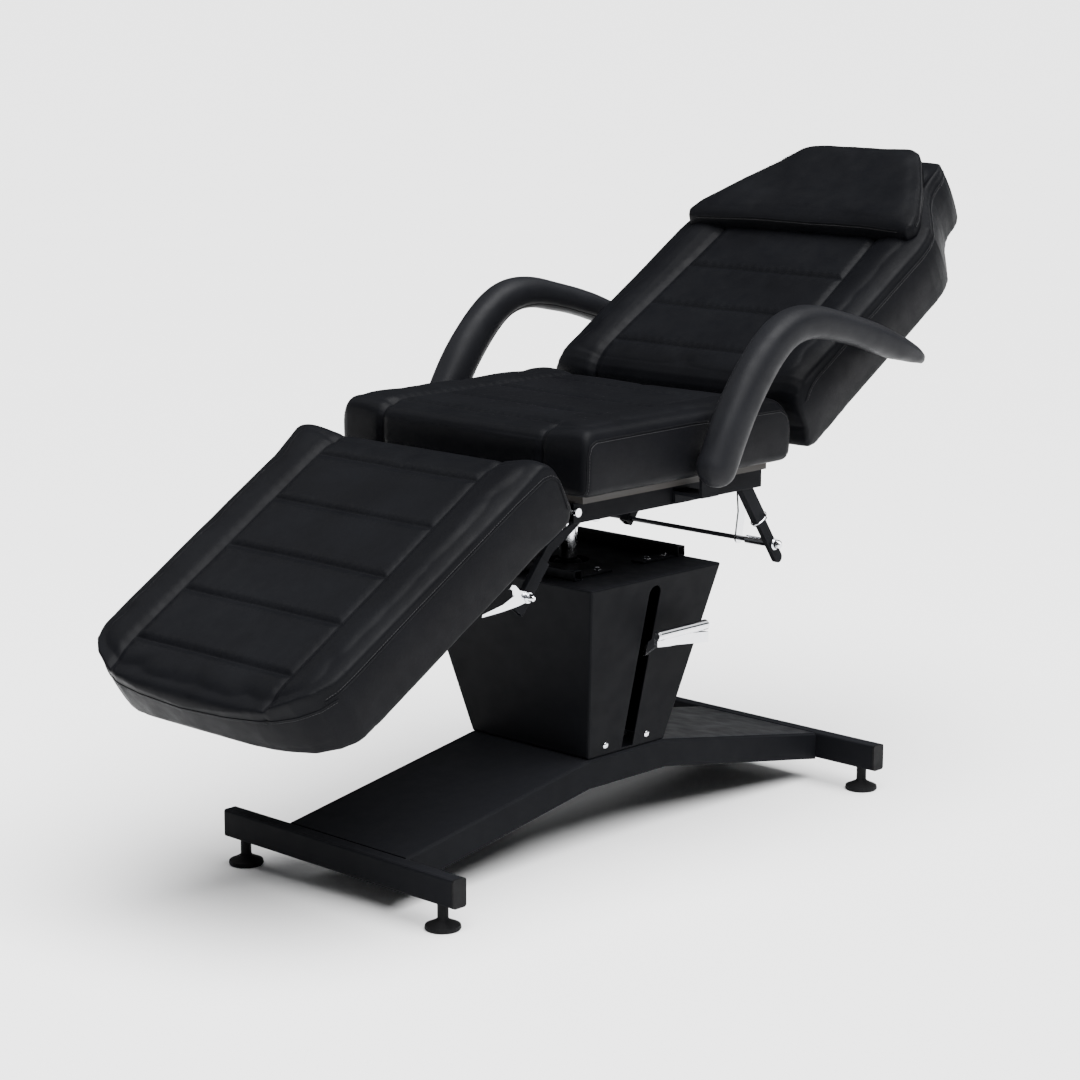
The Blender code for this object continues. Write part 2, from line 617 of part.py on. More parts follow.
def make_rear_hangers(steel, chrome):
    """Near arm with a sleeve and an inner tongue, a plain far arm, and the rod with its nut."""
    direction = mathutils.Vector((HANGER_TIP[0] - HANGER_TOP[0], HANGER_TIP[1] - HANGER_TOP[1]))
    direction.normalize()
    collar = mathutils.Vector(HANGER_TOP) + direction * 0.083
    sleeve_outline = trimmed_bar(HANGER_TOP, tuple(collar), 0.0130)
    low = RAIL_X - 0.0075
    sleeve = prism("hanger_sleeve_near", sleeve_outline, "X", low, low + 0.015, steel)
    bore_start = mathutils.Vector(HANGER_TOP) + direction * 0.040
    bore_end = collar + direction * 0.02
    bore = hanger_outline(tuple(bore_start), tuple(bore_end), 0.0107, 0.0107, False)
    combine(sleeve, cutter("hanger_bore_cutter", prism_bmesh(bore, "X", RAIL_X - 0.0055,
                                                             RAIL_X + 0.0055)), "DIFFERENCE")
    tongue_top = mathutils.Vector(HANGER_TOP) + direction * 0.046
    tongue_tip = mathutils.Vector(HANGER_TIP)
    tongue_outline = hanger_outline(tuple(tongue_top), tuple(tongue_tip), 0.0100, 0.0100, True)
    tongue = prism("hanger_tongue_near", tongue_outline, "X", RAIL_X - 0.005, RAIL_X + 0.005, steel)
    far_outline = trimmed_bar(HANGER_TOP, HANGER_PIVOT, 0.0110, round_end=True)
    far = prism("hanger_far", far_outline, "X", -RAIL_X - 0.005, -RAIL_X + 0.005, steel)
    for piece, x in ((tongue, RAIL_X), (far, -RAIL_X)):
        bore = cutter(f"{piece.name}_cutter", cylinder_bmesh("X", HANGER_PIVOT, ROD_RADIUS + GAP,
                                                             x - 0.02, x + 0.02, 16))
        combine(piece, bore, "DIFFERENCE")
    centre = (0.0, HANGER_PIVOT[0], HANGER_PIVOT[1])
    near_inner, near_outer = RAIL_X - 0.005 - GAP, RAIL_X + 0.005 + GAP
    nut = near_outer + GAP
    turned("cross_rod", [(ROD_RADIUS, -RAIL_X - 0.009), (ROD_RADIUS, near_inner - 0.056),
                         (0.0078, near_inner - 0.055), (0.0078, near_inner),
                         (ROD_RADIUS, near_inner), (ROD_RADIUS, nut), (0.0110, nut),
                         (0.0110, nut + 0.0020), (0.0085, nut + 0.0022), (0.0085, nut + 0.0090),
                         (0.0070, nut + 0.0130), (0.0035, nut + 0.0158)],
           "X", centre, chrome, segments=16)


def trimmed_bar(top, tip, half, round_end=False):
    """Like hanger_outline, with the top end cut level to sit under the rail."""
    run = mathutils.Vector((tip[0] - top[0], tip[1] - top[1])).normalized()
    side = mathutils.Vector((run.y, -run.x))
    corners = []
    for sign in (1, -1):
        edge = mathutils.Vector(top) + side * half * sign
        corners.append(edge + run * ((top[1] - edge.y) / run.y))
    if round_end:
        start = math.degrees(math.atan2(-side.y, -side.x))
        corners += [mathutils.Vector(p) for p in arc(tip, half, start, start - 180, 8)]
    else:
        corners += [mathutils.Vector(tip) - side * half, mathutils.Vector(tip) + side * half]
    return [tuple(c) for c in corners]


def make_front_hangers(steel, chrome):
    """Cranked flat straps under the rails' front ends; sleeve, bolt and nut on the near one."""
    first, knee, tip = (mathutils.Vector(p) for p in STRAP_PATH)
    run = (tip - knee).normalized()
    side = mathutils.Vector((run.y, -run.x))
    upper = (knee - first).normalized()
    upper_side = mathutils.Vector((upper.y, -upper.x))
    half = 0.0090
    bisector = (side + upper_side).normalized() * half
    corners = [first + mathutils.Vector((half * 1.3, 0.0)), first - mathutils.Vector((half * 1.3, 0.0)),
               knee + bisector * (1 if bisector.x < 0 else -1), None, None,
               knee - bisector * (1 if bisector.x < 0 else -1)]
    outward = side if side.x < 0 else -side
    corners[3] = tip + outward * half
    corners[4] = tip - outward * half
    for name, x in (("near", RAIL_X), ("far", -RAIL_X)):
        strap = prism(f"front_strap_{name}", [tuple(c) for c in corners], "X", x - 0.003, x + 0.003,
                      steel)
        bore = cutter(f"front_strap_cutter_{name}",
                      cylinder_bmesh("X", FRONT_BOLT, 0.0035 + GAP, x - 0.02, x + 0.02, 16))
        combine(strap, bore, "DIFFERENCE")
    lean = math.atan2(-run.y, -run.x)
    mount = joint_empty("front_sleeve_frame", (RAIL_X, knee.x, knee.y), lean)
    start, end = 0.022, (tip - knee).length + 0.004
    sleeve = rectangular_tube("front_sleeve", "Y", -end, -start, (0.0115, 0.0250), (0, 0), steel,
                              mount, corner=0.001)
    bolt_along = (mathutils.Vector(FRONT_BOLT) - knee).length
    bore = cutter("front_sleeve_cutter", cylinder_bmesh("X", (-bolt_along, 0), 0.0035 + GAP,
                                                        -0.02, 0.02, 16), mount)
    combine(sleeve, bore, "DIFFERENCE")
    face = 0.0115 / 2 + GAP
    profile = [(0.0070, -face - 0.0050), (0.0070, -face), (0.0035, -face), (0.0035, face + 0.0037),
               (0.0090, face + 0.0037), (0.0090, face + 0.0055), (0.0070, face + 0.0057),
               (0.0070, face + 0.0115), (0.0052, face + 0.0155), (0.0026, face + 0.0175)]
    centre = (RAIL_X, *FRONT_BOLT)
    turned("front_bolt", profile, "X", centre, chrome, segments=16)
    low = RAIL_X + face
    make_release_lever(low, low + 0.0030, chrome)


def make_release_lever(low, high, material):
    """Flat lever on the front bolt: a hooked finger tab and a long tapered blade."""
    pivot = joint_empty("release_lever_axis", (RAIL_X, *FRONT_BOLT))
    outline = [(-0.002, 0.0095), (-0.020, 0.0150), (-0.030, 0.0250), (-0.038, 0.0270),
               (-0.0430, 0.0215), (-0.0350, 0.0165), (-0.0330, 0.0080), (-0.0600, -0.0030),
               (-0.1080, -0.0120), (-0.1090, -0.0165), (-0.0620, -0.0145), (-0.0250, -0.0110)]
    outline += arc((0, 0), 0.0100, 230, 340, 6)
    lever = prism("release_lever", outline, "X", low - RAIL_X, high - RAIL_X, material, pivot)
    bore = cutter("release_lever_cutter",
                  cylinder_bmesh("X", (0, 0), 0.0035 + GAP, low - RAIL_X - 0.01,
                                 high - RAIL_X + 0.01, 16), pivot)
    combine(lever, bore, "DIFFERENCE")


# ---------------------------------------------------------------- telescopic strut
def back_tube_mid():
    """Height of the back rest's tubes in the back rest's frame."""
    return BACK_MID - BACK_THICKNESS / 2 - BOARD_THICKNESS - CROSS_TUBE / 2 - 2 * GAP


def strut_ends():
    """Cross-rod pivot and back-rest pivot, (y, z); both are equally far from the back hinge."""
    hinge = mathutils.Vector(BACK_HINGE[1:])
    low = mathutils.Vector(HANGER_PIVOT)
    radius = (low - hinge).length
    drop = back_tube_mid()
    along = math.sqrt(radius ** 2 - drop ** 2)
    cos, sin = math.cos(BACK_ANGLE), math.sin(BACK_ANGLE)
    high = hinge + mathutils.Vector((along * cos - drop * sin, along * sin + drop * cos))
    return low, high, along


def make_strut(mats, hinge):
    """Square tube pivoted on the cross rod, with a rod in it pivoted on the back rest."""
    low, high, along = strut_ends()
    lean = math.atan2(high.y - low.y, high.x - low.x)
    tube_frame = joint_empty("strut_tube_axis", (STRUT_X, low.x, low.y), lean)
    rod_frame = joint_empty("strut_rod_axis", (STRUT_X, high.x, high.y), lean)
    tube = rectangular_tube("strut_tube", "Y", -0.010, STRUT_TUBE_LENGTH, (0.020, 0.020), (0, 0),
                            mats["black_powder_coat"], tube_frame)
    bore = cutter("strut_tube_cutter", cylinder_bmesh("X", (0, 0), ROD_RADIUS + GAP, -0.02, 0.02,
                                                      16), tube_frame)
    combine(tube, bore, "DIFFERENCE")
    outline = arc((0, 0), 0.0070, -75, 75, 6)
    outline += [(-STRUT_ROD_LENGTH, 0.0060), (-STRUT_ROD_LENGTH, -0.0060)]
    rod = prism("strut_rod", outline, "X", -0.006, 0.006, mats["chrome"], rod_frame)
    pin_radius = 0.0035
    bore = cutter("strut_rod_cutter", cylinder_bmesh("X", (0, 0), pin_radius + GAP, -0.02, 0.02,
                                                     16), rod_frame)
    combine(rod, bore, "DIFFERENCE")
    tube_inner = -(BACK_TUBE_X - CROSS_TUBE / 2) + GAP
    profile = [(0.0062, STRUT_X + 0.0062 + 0.004), (0.0062, STRUT_X + 0.0062),
               (pin_radius, STRUT_X + 0.0062), (pin_radius, STRUT_X - 0.0062),
               (0.0070, STRUT_X - 0.0064), (0.0070, tube_inner)]
    turned("strut_pin", profile, "X", (0, along, back_tube_mid()), mats["chrome"], hinge,
           segments=16)


def make_rear_lever(chrome):
    """Forked lever standing on the cross rod behind the near rail."""
    pivot = joint_empty("rear_lever_axis", (0.155, *HANGER_PIVOT))
    outline = arc((0, 0), 0.0105, 150, 390, 12)
    outline += [(0.0170, 0.0500), (0.0320, 0.0900), (0.0250, 0.0930), (0.0110, 0.0600),
                (0.0010, 0.0980), (-0.0065, 0.0970), (-0.0020, 0.0500)]
    lever = prism("rear_lever", outline, "X", -0.002, 0.002, chrome, pivot)
    bore = cutter("rear_lever_cutter", cylinder_bmesh("X", (0, 0), ROD_RADIUS + GAP, -0.02, 0.02,
                                                      16), pivot)
    combine(lever, bore, "DIFFERENCE")


# ---------------------------------------------------------------- back rest
def back_plan():
    """Half plan of the back rest: straight sides, sloped shoulders, narrow neck, rounded head."""
    half = SEAT_HALF_WIDTH
    right = [(half, BACK_START), (half, 0.455), (half - 0.004, 0.484), (0.286, 0.518),
             (0.254, 0.568), (0.229, 0.606), (0.212, 0.640)]
    right += arc((0.124, 0.672), 0.080, 0, 90, 8)
    left = [(-x, y) for x, y in reversed(right)]
    return right + left


def make_backrest(mats):
    steel, vinyl = mats["black_powder_coat"], mats["black_vinyl"]
    hinge = joint_empty("backrest_hinge", BACK_HINGE, BACK_ANGLE)
    low, high = BACK_MID - BACK_THICKNESS / 2, BACK_MID + BACK_THICKNESS / 2
    end_radius = BACK_THICKNESS / 2 - 0.0005
    cushion = prism("back_cushion", back_plan(), "Z", low, high, vinyl, hinge)
    profile = rounded_rectangle((BACK_START, low), (BACK_LENGTH, high),
                                [end_radius, 0.022, 0.030, end_radius], 6)
    shape = cutter("back_profile_cutter", prism_bmesh(profile, "X", -0.4, 0.4), hinge)
    combine(cushion, shape, "INTERSECT")
    board_top = low - GAP
    board_outline = [(-0.255, 0.060), (0.255, 0.060), (0.255, 0.470), (0.165, 0.590),
                     (0.165, 0.705), (-0.165, 0.705), (-0.165, 0.590), (-0.255, 0.470)]
    prism("back_board", board_outline, "Z", board_top - BOARD_THICKNESS, board_top,
          mats["plywood"], hinge)
    tube_mid = back_tube_mid()
    for side, sign in (("near", 1), ("far", -1)):
        rectangular_tube(f"back_tube_{side}", "Y", 0.090, 0.560, (CROSS_TUBE, CROSS_TUBE),
                         (sign * BACK_TUBE_X, tube_mid), steel, hinge)
        make_knuckle(f"back_knuckle_{side}", sign, tube_mid, steel, hinge)
    inner = BACK_TUBE_X - CROSS_TUBE / 2 - GAP
    rectangular_tube("back_cross_tube", "X", -inner, inner, (CROSS_TUBE, CROSS_TUBE),
                     (0.480, tube_mid), steel, hinge)
    return hinge


def make_knuckle(name, sign, tube_mid, material, hinge):
    """Cranked plate from the pin, under the cushion's round end, to the side tube."""
    outline = arc((0, 0), 0.0100, 20, 235, 8)
    outline += [(0.0260, -0.0490), (0.0340, tube_mid - 0.0085), (0.200, tube_mid - 0.0085),
                (0.200, tube_mid + 0.0095), (0.044, tube_mid + 0.0095), (0.0290, -0.0260)]
    outer = EAR_X - EAR_THICKNESS / 2 - 0.0008
    low, high = sorted((sign * (outer - EAR_THICKNESS), sign * outer))
    knuckle = prism(name, outline, "X", low, high, material, hinge)
    bore = cutter(f"{name}_cutter",
                  cylinder_bmesh("X", (0, 0), PIN_RADIUS + GAP, low - 0.01, high + 0.01, 16), hinge)
    combine(knuckle, bore, "DIFFERENCE")


def make_pillow(mats, hinge):
    """Removable head pillow: wide, thick front edge, tapering to the head end."""
    seat = BACK_MID + BACK_THICKNESS / 2 + 0.001
    plan = [(0.270, 0.464), (0.277, 0.482), (0.269, 0.514), (0.216, 0.612), (0.173, 0.684),
            (0.150, 0.714), (0.118, 0.736)]
    plan += [(-x, y) for x, y in reversed(plan)]
    pillow = prism("head_pillow", plan, "Z", seat, seat + 0.050, mats["black_vinyl"], hinge)
    profile = rounded_rectangle((0.460, seat), (0.738, seat + 0.050),
                                [0.018, 0.012, 0.022, 0.024], 5)
    profile = [(y, seat + (z - seat) * (1.0 - 0.18 * (y - 0.460) / 0.278)) for y, z in profile]
    shape = cutter("pillow_profile_cutter", prism_bmesh(profile, "X", -0.4, 0.4), hinge)
    combine(pillow, shape, "INTERSECT")


# ---------------------------------------------------------------- leg rest
def leg_plan():
    """Plan of the leg rest, narrowing slightly to a crowned foot end with round corners."""
    half, foot_half = 0.300, 0.290
    end = -(LEG_START + LEG_LENGTH)
    right = [(half, -LEG_START), (foot_half + 0.002, -0.560)]
    right += [(foot_half - 0.001, -0.600), (0.276, -0.636), (0.248, -0.662), (0.205, -0.680),
              (0.110, end + 0.006)]
    right += [(0.0, end)]
    left = [(-x, y) for x, y in reversed(right[:-1])]
    return right + left


def make_legrest(mats):
    steel = mats["black_powder_coat"]
    hinge = joint_empty("legrest_hinge", LEG_HINGE, LEG_ANGLE)
    low, high = LEG_TOP - LEG_THICKNESS, LEG_TOP
    cushion = prism("leg_cushion", leg_plan(), "Z", low, high, mats["black_vinyl"], hinge)
    end = -(LEG_START + LEG_LENGTH)
    profile = [(-LEG_START - 0.020, low), (-LEG_START, low + 0.020)]
    profile += arc((-LEG_START - 0.024, high - 0.024), 0.024, 0, 90, 5)
    profile += arc((end + 0.022, high - 0.022), 0.022, 90, 180, 5)
    profile += [(end, low + 0.050), (end + 0.010, low + 0.030), (end + 0.036, low + 0.012),
                (end + 0.090, low)]
    shape = cutter("leg_profile_cutter", prism_bmesh(profile, "X", -0.4, 0.4), hinge)
    combine(cushion, shape, "INTERSECT")
    board_top = low - GAP
    box("leg_board", (-0.238, -0.560, board_top - BOARD_THICKNESS), (0.238, -0.075, board_top),
        mats["plywood"], hinge)
    tube_top = board_top - BOARD_THICKNESS - GAP
    reach = LEG_PLATE_X - LEG_PLATE_THICKNESS / 2 - GAP
    rectangular_tube("leg_cross_tube", "X", -reach, reach, (CROSS_TUBE, CROSS_TUBE),
                     (-0.125, tube_top - CROSS_TUBE / 2), steel, hinge)
    for side, sign in (("near", 1), ("far", -1)):
        make_leg_plate(f"leg_plate_{side}", sign, tube_top, steel, hinge)


def make_leg_plate(name, sign, top, material, hinge):
    """Plate from the hinge eye out along the underside of the leg rest's board."""
    outline = arc((0, 0), 0.011, -90, 110, 8)
    outline += [(-0.064, top), (-0.300, top), (-0.300, top - 0.014), (-0.150, 0.004),
                (-0.100, 0.000)]
    low, high = sorted((sign * (LEG_PLATE_X - LEG_PLATE_THICKNESS / 2),
                        sign * (LEG_PLATE_X + LEG_PLATE_THICKNESS / 2)))
    plate = prism(name, outline, "X", low, high, material, hinge)
    bore = cutter(f"{name}_cutter",
                  cylinder_bmesh("X", (0, 0), PIN_RADIUS + GAP, low - 0.01, high + 0.01, 16), hinge)
    combine(plate, bore, "DIFFERENCE")


# ---------------------------------------------------------------- armrests
def make_armrest(side, sign, material):
    """Padded boomerang bar, rounded at the lower end and pointed at the rear end."""
    pivot = joint_empty(f"armrest_hinge_{side}", (sign * ARMREST_X, *ARMREST_PIVOT))
    ring_points = 14
    path = [mathutils.Vector(p) for p in ARMREST_PATH]
    bm = bmesh.new()
    loops = []
    for i, point in enumerate(path):
        before, after = path[max(i - 1, 0)], path[min(i + 1, len(path) - 1)]
        run = (after - before).normalized()
        across = mathutils.Vector((-run.y, run.x))
        depth = ARMREST_DEPTH[i]
        width = ARMREST_HALF_X * (1.0 if i < len(path) - 2 else (0.86, 0.42)[i - len(path) + 2])
        ring = []
        for k in range(ring_points):
            angle = 2 * math.pi * k / ring_points
            x = width * math.copysign(abs(math.cos(angle)) ** 0.75, math.cos(angle))
            lift = depth * math.copysign(abs(math.sin(angle)) ** 0.75, math.sin(angle))
            spot = point + across * lift - mathutils.Vector(ARMREST_PIVOT)
            ring.append(bm.verts.new((x, spot.x, spot.y)))
        loops.append(ring)
    cap = []
    run = (path[1] - path[0]).normalized()
    across = mathutils.Vector((-run.y, run.x))
    for shrink, back in ((0.80, 0.018), (0.42, 0.028)):
        ring = []
        for k in range(ring_points):
            angle = 2 * math.pi * k / ring_points
            x = ARMREST_HALF_X * shrink * math.copysign(abs(math.cos(angle)) ** 0.75, math.cos(angle))
            lift = ARMREST_DEPTH[0] * shrink * math.copysign(abs(math.sin(angle)) ** 0.75,
                                                             math.sin(angle))
            spot = path[0] - run * back + across * lift - mathutils.Vector(ARMREST_PIVOT)
            ring.append(bm.verts.new((x, spot.x, spot.y)))
        cap.append(ring)
    loops = [cap[1], cap[0]] + loops
    for first, second in zip(loops, loops[1:]):
        for k in range(ring_points):
            m = (k + 1) % ring_points
            bm.faces.new((first[k], first[m], second[m], second[k]))
    bm.faces.new(loops[0])
    bm.faces.new(loops[-1])
    place(f"armrest_{side}", bm, material, pivot, smooth=True)


def main():
    clear_scene()
    mats = make_materials()
    make_base(mats)
    make_hydraulics(mats)
    make_pedal(mats)
    make_seat(mats)
    hinge = make_backrest(mats)
    make_strut(mats, hinge)
    make_rear_lever(mats["chrome"])
    make_pillow(mats, hinge)
    make_legrest(mats)
    for side, sign in (("near", 1), ("far", -1)):
        make_armrest(side, sign, mats["black_vinyl"])


main()
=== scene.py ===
import json
import math

import bmesh
import bpy
import numpy as np
from mathutils import Matrix, Vector, noise
from mathutils.bvhtree import BVHTree


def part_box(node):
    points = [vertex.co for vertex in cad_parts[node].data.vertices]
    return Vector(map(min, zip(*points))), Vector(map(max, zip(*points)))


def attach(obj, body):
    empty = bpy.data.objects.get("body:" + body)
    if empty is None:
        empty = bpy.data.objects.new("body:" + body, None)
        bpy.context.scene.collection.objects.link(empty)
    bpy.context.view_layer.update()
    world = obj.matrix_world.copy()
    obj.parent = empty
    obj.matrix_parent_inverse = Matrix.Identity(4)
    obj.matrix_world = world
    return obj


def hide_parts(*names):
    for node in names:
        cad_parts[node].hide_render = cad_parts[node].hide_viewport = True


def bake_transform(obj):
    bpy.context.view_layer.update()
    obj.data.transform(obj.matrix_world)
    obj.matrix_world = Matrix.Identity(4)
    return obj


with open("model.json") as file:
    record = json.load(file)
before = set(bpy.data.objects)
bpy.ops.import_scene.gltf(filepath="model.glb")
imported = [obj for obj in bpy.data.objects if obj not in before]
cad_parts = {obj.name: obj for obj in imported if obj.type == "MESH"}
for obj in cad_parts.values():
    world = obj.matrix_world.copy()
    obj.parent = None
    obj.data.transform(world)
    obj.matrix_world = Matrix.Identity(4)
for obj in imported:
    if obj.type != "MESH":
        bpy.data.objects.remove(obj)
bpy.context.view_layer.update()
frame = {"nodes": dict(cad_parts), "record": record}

# ---------------------------------------------------------------- dimensions (metres)
# Each panel's frame has its origin on the hinge line, y along the panel and z out of its face.
TILT = math.radians(32)
SEAT_FRAME = Matrix.Identity(4)
BACK_FRAME = Matrix.Translation((0.0, 0.3106, 0.712)) @ Matrix.Rotation(TILT, 4, "X")
LEG_FRAME = Matrix.Translation((0.0, -0.242, 0.655)) @ Matrix.Rotation(TILT, 4, "X")

CUSHION_SHRINK = np.array([0.004, 0.004, 0.003])    # before swelling
SOFTEN_ROUNDS = 3
VOXEL = 0.009
CLOTH_FRAMES = 16

CHANNEL_DEPTH = 0.0042
CHANNEL_WIDTH = 0.0085
CREASE_DEPTH = 0.0014
CREASE_WIDTH = 0.0022
PUCKER_HEIGHT = 0.00035
PUCKER_PITCH = 0.021
PANEL_DROP = 0.0030         # sewn middle panel below the plain side bands
LONG_SEAM_X = 0.196
SEAM_STEP = 0.006
STITCH_PITCH = 0.0052
STITCH_LENGTH = 0.0036
STITCH_RADIUS = 0.00042
STITCH_OFFSET = 0.0042      # from the seam

# Back rest outline: distance from the hinge, half width.
BACK_OUTLINE = [(0.010, 0.300), (0.455, 0.300), (0.484, 0.296), (0.518, 0.286), (0.568, 0.254),
                (0.606, 0.229), (0.640, 0.212), (0.672, 0.204), (0.700, 0.199), (0.725, 0.184)]

ARMREST_X = 0.348
ARMREST_PATH = [(0.002, 0.712), (0.038, 0.778), (0.083, 0.845), (0.134, 0.900), (0.188, 0.934),
                (0.251, 0.943), (0.330, 0.929), (0.430, 0.901), (0.528, 0.867), (0.583, 0.846)]
ARMREST_DEPTH = [0.036, 0.037, 0.036, 0.034, 0.032, 0.029, 0.027, 0.026, 0.023, 0.012]
ARMREST_HALF_X = 0.031
ARMREST_SIDES = 40

RAIL_X = 0.235
RAIL_UNDERSIDE = 0.6347
HANGER_TOP = Vector((0.0, 0.2155, 0.635))
HANGER_TIP = Vector((0.0, 0.3110, 0.4940))
COVER_HALF_BOTTOM = 0.1462
COVER_HALF_TOP = 0.219

FLOOR_SIZE = 400.0
WORLD_STRENGTH = 0.10
SKY_STRENGTH = 13.5
SKY_ANGLE = math.radians(66)


# ---------------------------------------------------------------- node helpers
def new_material(name, colour, roughness, metallic=0.0):
    material = bpy.data.materials.new(name)
    material.use_nodes = True
    tree = material.node_tree
    shader = tree.nodes["Principled BSDF"]
    shader.inputs["Base Color"].default_value = (*colour, 1.0)
    shader.inputs["Roughness"].default_value = roughness
    shader.inputs["Metallic"].default_value = metallic
    return material, tree, shader


def add_node(tree, kind, **settings):
    """New node; a setting is an input's value if the node has an input of that name."""
    node = tree.nodes.new(kind)
    for key, value in settings.items():
        if key in node.inputs:
            node.inputs[key].default_value = value
        else:
            setattr(node, key, value)
    return node


def noise_node(tree, coords, scale, detail=3.0, roughness=0.5):
    node = add_node(tree, "ShaderNodeTexNoise", Scale=scale, Detail=detail, Roughness=roughness)
    tree.links.new(coords, node.inputs["Vector"])
    return node.outputs["Fac"]


def ramp_node(tree, source, low, high, low_colour, high_colour):
    node = add_node(tree, "ShaderNodeValToRGB")
    for element, place, colour in zip(node.color_ramp.elements, (low, high),
                                      (low_colour, high_colour)):
        element.position = place
        element.color = (*colour, 1.0)
    tree.links.new(source, node.inputs["Fac"])
    return node.outputs["Color"]


def range_node(tree, source, low, high, from_low=0.3, from_high=0.7):
    node = add_node(tree, "ShaderNodeMapRange")
    node.inputs["From Min"].default_value = from_low
    node.inputs["From Max"].default_value = from_high
    node.inputs["To Min"].default_value = low
    node.inputs["To Max"].default_value = high
    tree.links.new(source, node.inputs["Value"])
    return node.outputs["Result"]


def mix_node(tree, factor, second_colour):
    """Colour mix towards a fixed second colour; the first one is linked or set by the caller."""
    node = add_node(tree, "ShaderNodeMix", data_type="RGBA")
    tree.links.new(factor, node.inputs["Factor"])
    node.inputs["B"].default_value = (*second_colour, 1.0)
    return node


def bump_node(tree, shader, height, strength, distance, previous=None):
    node = add_node(tree, "ShaderNodeBump", Strength=strength, Distance=distance)
    tree.links.new(height, node.inputs["Height"])
    if previous is not None:
        tree.links.new(previous, node.inputs["Normal"])
    tree.links.new(node.outputs["Normal"], shader.inputs["Normal"])
    return node.outputs["Normal"]


def set_colour(tree, shader, source, low, high, dark, pale):
    """Base colour from dark to pale as the source goes from low to high."""
    tree.links.new(ramp_node(tree, source, low, high, dark, pale), shader.inputs["Base Color"])


def set_roughness(tree, shader, source, low, high):
    """Roughness from low to high over the middle of the source's range."""
    tree.links.new(range_node(tree, source, low, high), shader.inputs["Roughness"])


def object_coords(tree):
    return add_node(tree, "ShaderNodeTexCoord").outputs["Object"]


# ---------------------------------------------------------------- materials
def vinyl_material(name, dark, pale, specular):
    """Black upholstery vinyl: pebbled grain, faint cloudy colour and sheen changes."""
    material, tree, shader = new_material(name, dark, 0.5)
    coords = object_coords(tree)
    set_colour(tree, shader, noise_node(tree, coords, 9.0, 4.0), 0.30, 0.72, dark, pale)
    set_roughness(tree, shader, noise_node(tree, coords, 38.0, 5.0), 0.44, 0.56)
    shader.inputs["Specular IOR Level"].default_value = specular
    pebbles = add_node(tree, "ShaderNodeTexVoronoi", feature="DISTANCE_TO_EDGE", Scale=620.0,
                       Randomness=0.85)
    tree.links.new(coords, pebbles.inputs["Vector"])
    rounded = range_node(tree, pebbles.outputs["Distance"], 0.0, 1.0, 0.0, 0.28)
    grain = bump_node(tree, shader, rounded, 0.30, 0.00022)
    bump_node(tree, shader, noise_node(tree, coords, 120.0, 4.0, 0.6), 0.25, 0.0008, grain)
    return material


def thread_material():
    """Twisted sewing thread."""
    material, tree, shader = new_material("thread_black", (0.014, 0.014, 0.016), 0.62)
    twist = add_node(tree, "ShaderNodeTexWave", wave_type="BANDS", Scale=900.0, Distortion=1.0)
    tree.links.new(object_coords(tree), twist.inputs["Vector"])
    bump_node(tree, shader, twist.outputs["Fac"], 0.5, 0.0002)
    set_colour(tree, shader, twist.outputs["Fac"], 0.2, 0.8, (0.004, 0.004, 0.005),
               (0.010, 0.010, 0.012))
    return material


def powder_material():
    """Satin black powder coat: orange peel, cloudiness, worn edges, and painted top light, a lighter
    colour on faces that point up.
    """
    material, tree, shader = new_material("powder_coat_black", (0.018, 0.018, 0.021), 0.40)
    coords = object_coords(tree)
    coat = ramp_node(tree, noise_node(tree, coords, 14.0, 3.0), 0.3, 0.7,
                     (0.0020, 0.0022, 0.0028), (0.0030, 0.0032, 0.0040))
    surface = add_node(tree, "ShaderNodeNewGeometry")
    edges = ramp_node(tree, surface.outputs["Pointiness"], 0.56, 0.66, (0, 0, 0), (1, 1, 1))
    worn = mix_node(tree, edges, (0.0055, 0.0058, 0.0070))
    tree.links.new(coat, worn.inputs["A"])
    # painted top light: faces that point up get a lighter base colour, standing in for light falling
    # from above
    facing = add_node(tree, "ShaderNodeSeparateXYZ")
    tree.links.new(surface.outputs["Normal"], facing.inputs["Vector"])
    upward = ramp_node(tree, facing.outputs["Z"], 0.55, 0.95, (0, 0, 0), (1, 1, 1))
    top_lit = mix_node(tree, upward, (0.0085, 0.0088, 0.0104))
    tree.links.new(worn.outputs["Result"], top_lit.inputs["A"])
    tree.links.new(top_lit.outputs["Result"], shader.inputs["Base Color"])
    set_roughness(tree, shader, noise_node(tree, coords, 30.0, 4.0), 0.46, 0.58)
    shader.inputs["Specular IOR Level"].default_value = 0.03
    bump_node(tree, shader, noise_node(tree, coords, 700.0, 2.0), 0.18, 0.0003)
    return material


def chrome_material():
    """Polished chrome with smudges and fine scratches."""
    material, tree, shader = new_material("chrome_polished", (0.80, 0.81, 0.83), 0.09, 1.0)
    coords = object_coords(tree)
    smudges = noise_node(tree, coords, 55.0, 5.0, 0.6)
    set_roughness(tree, shader, smudges, 0.05, 0.17)
    set_colour(tree, shader, smudges, 0.25, 0.8, (0.74, 0.76, 0.80), (0.86, 0.86, 0.87))
    bump_node(tree, shader, noise_node(tree, coords, 900.0, 2.0), 0.03, 0.0002)
    return material


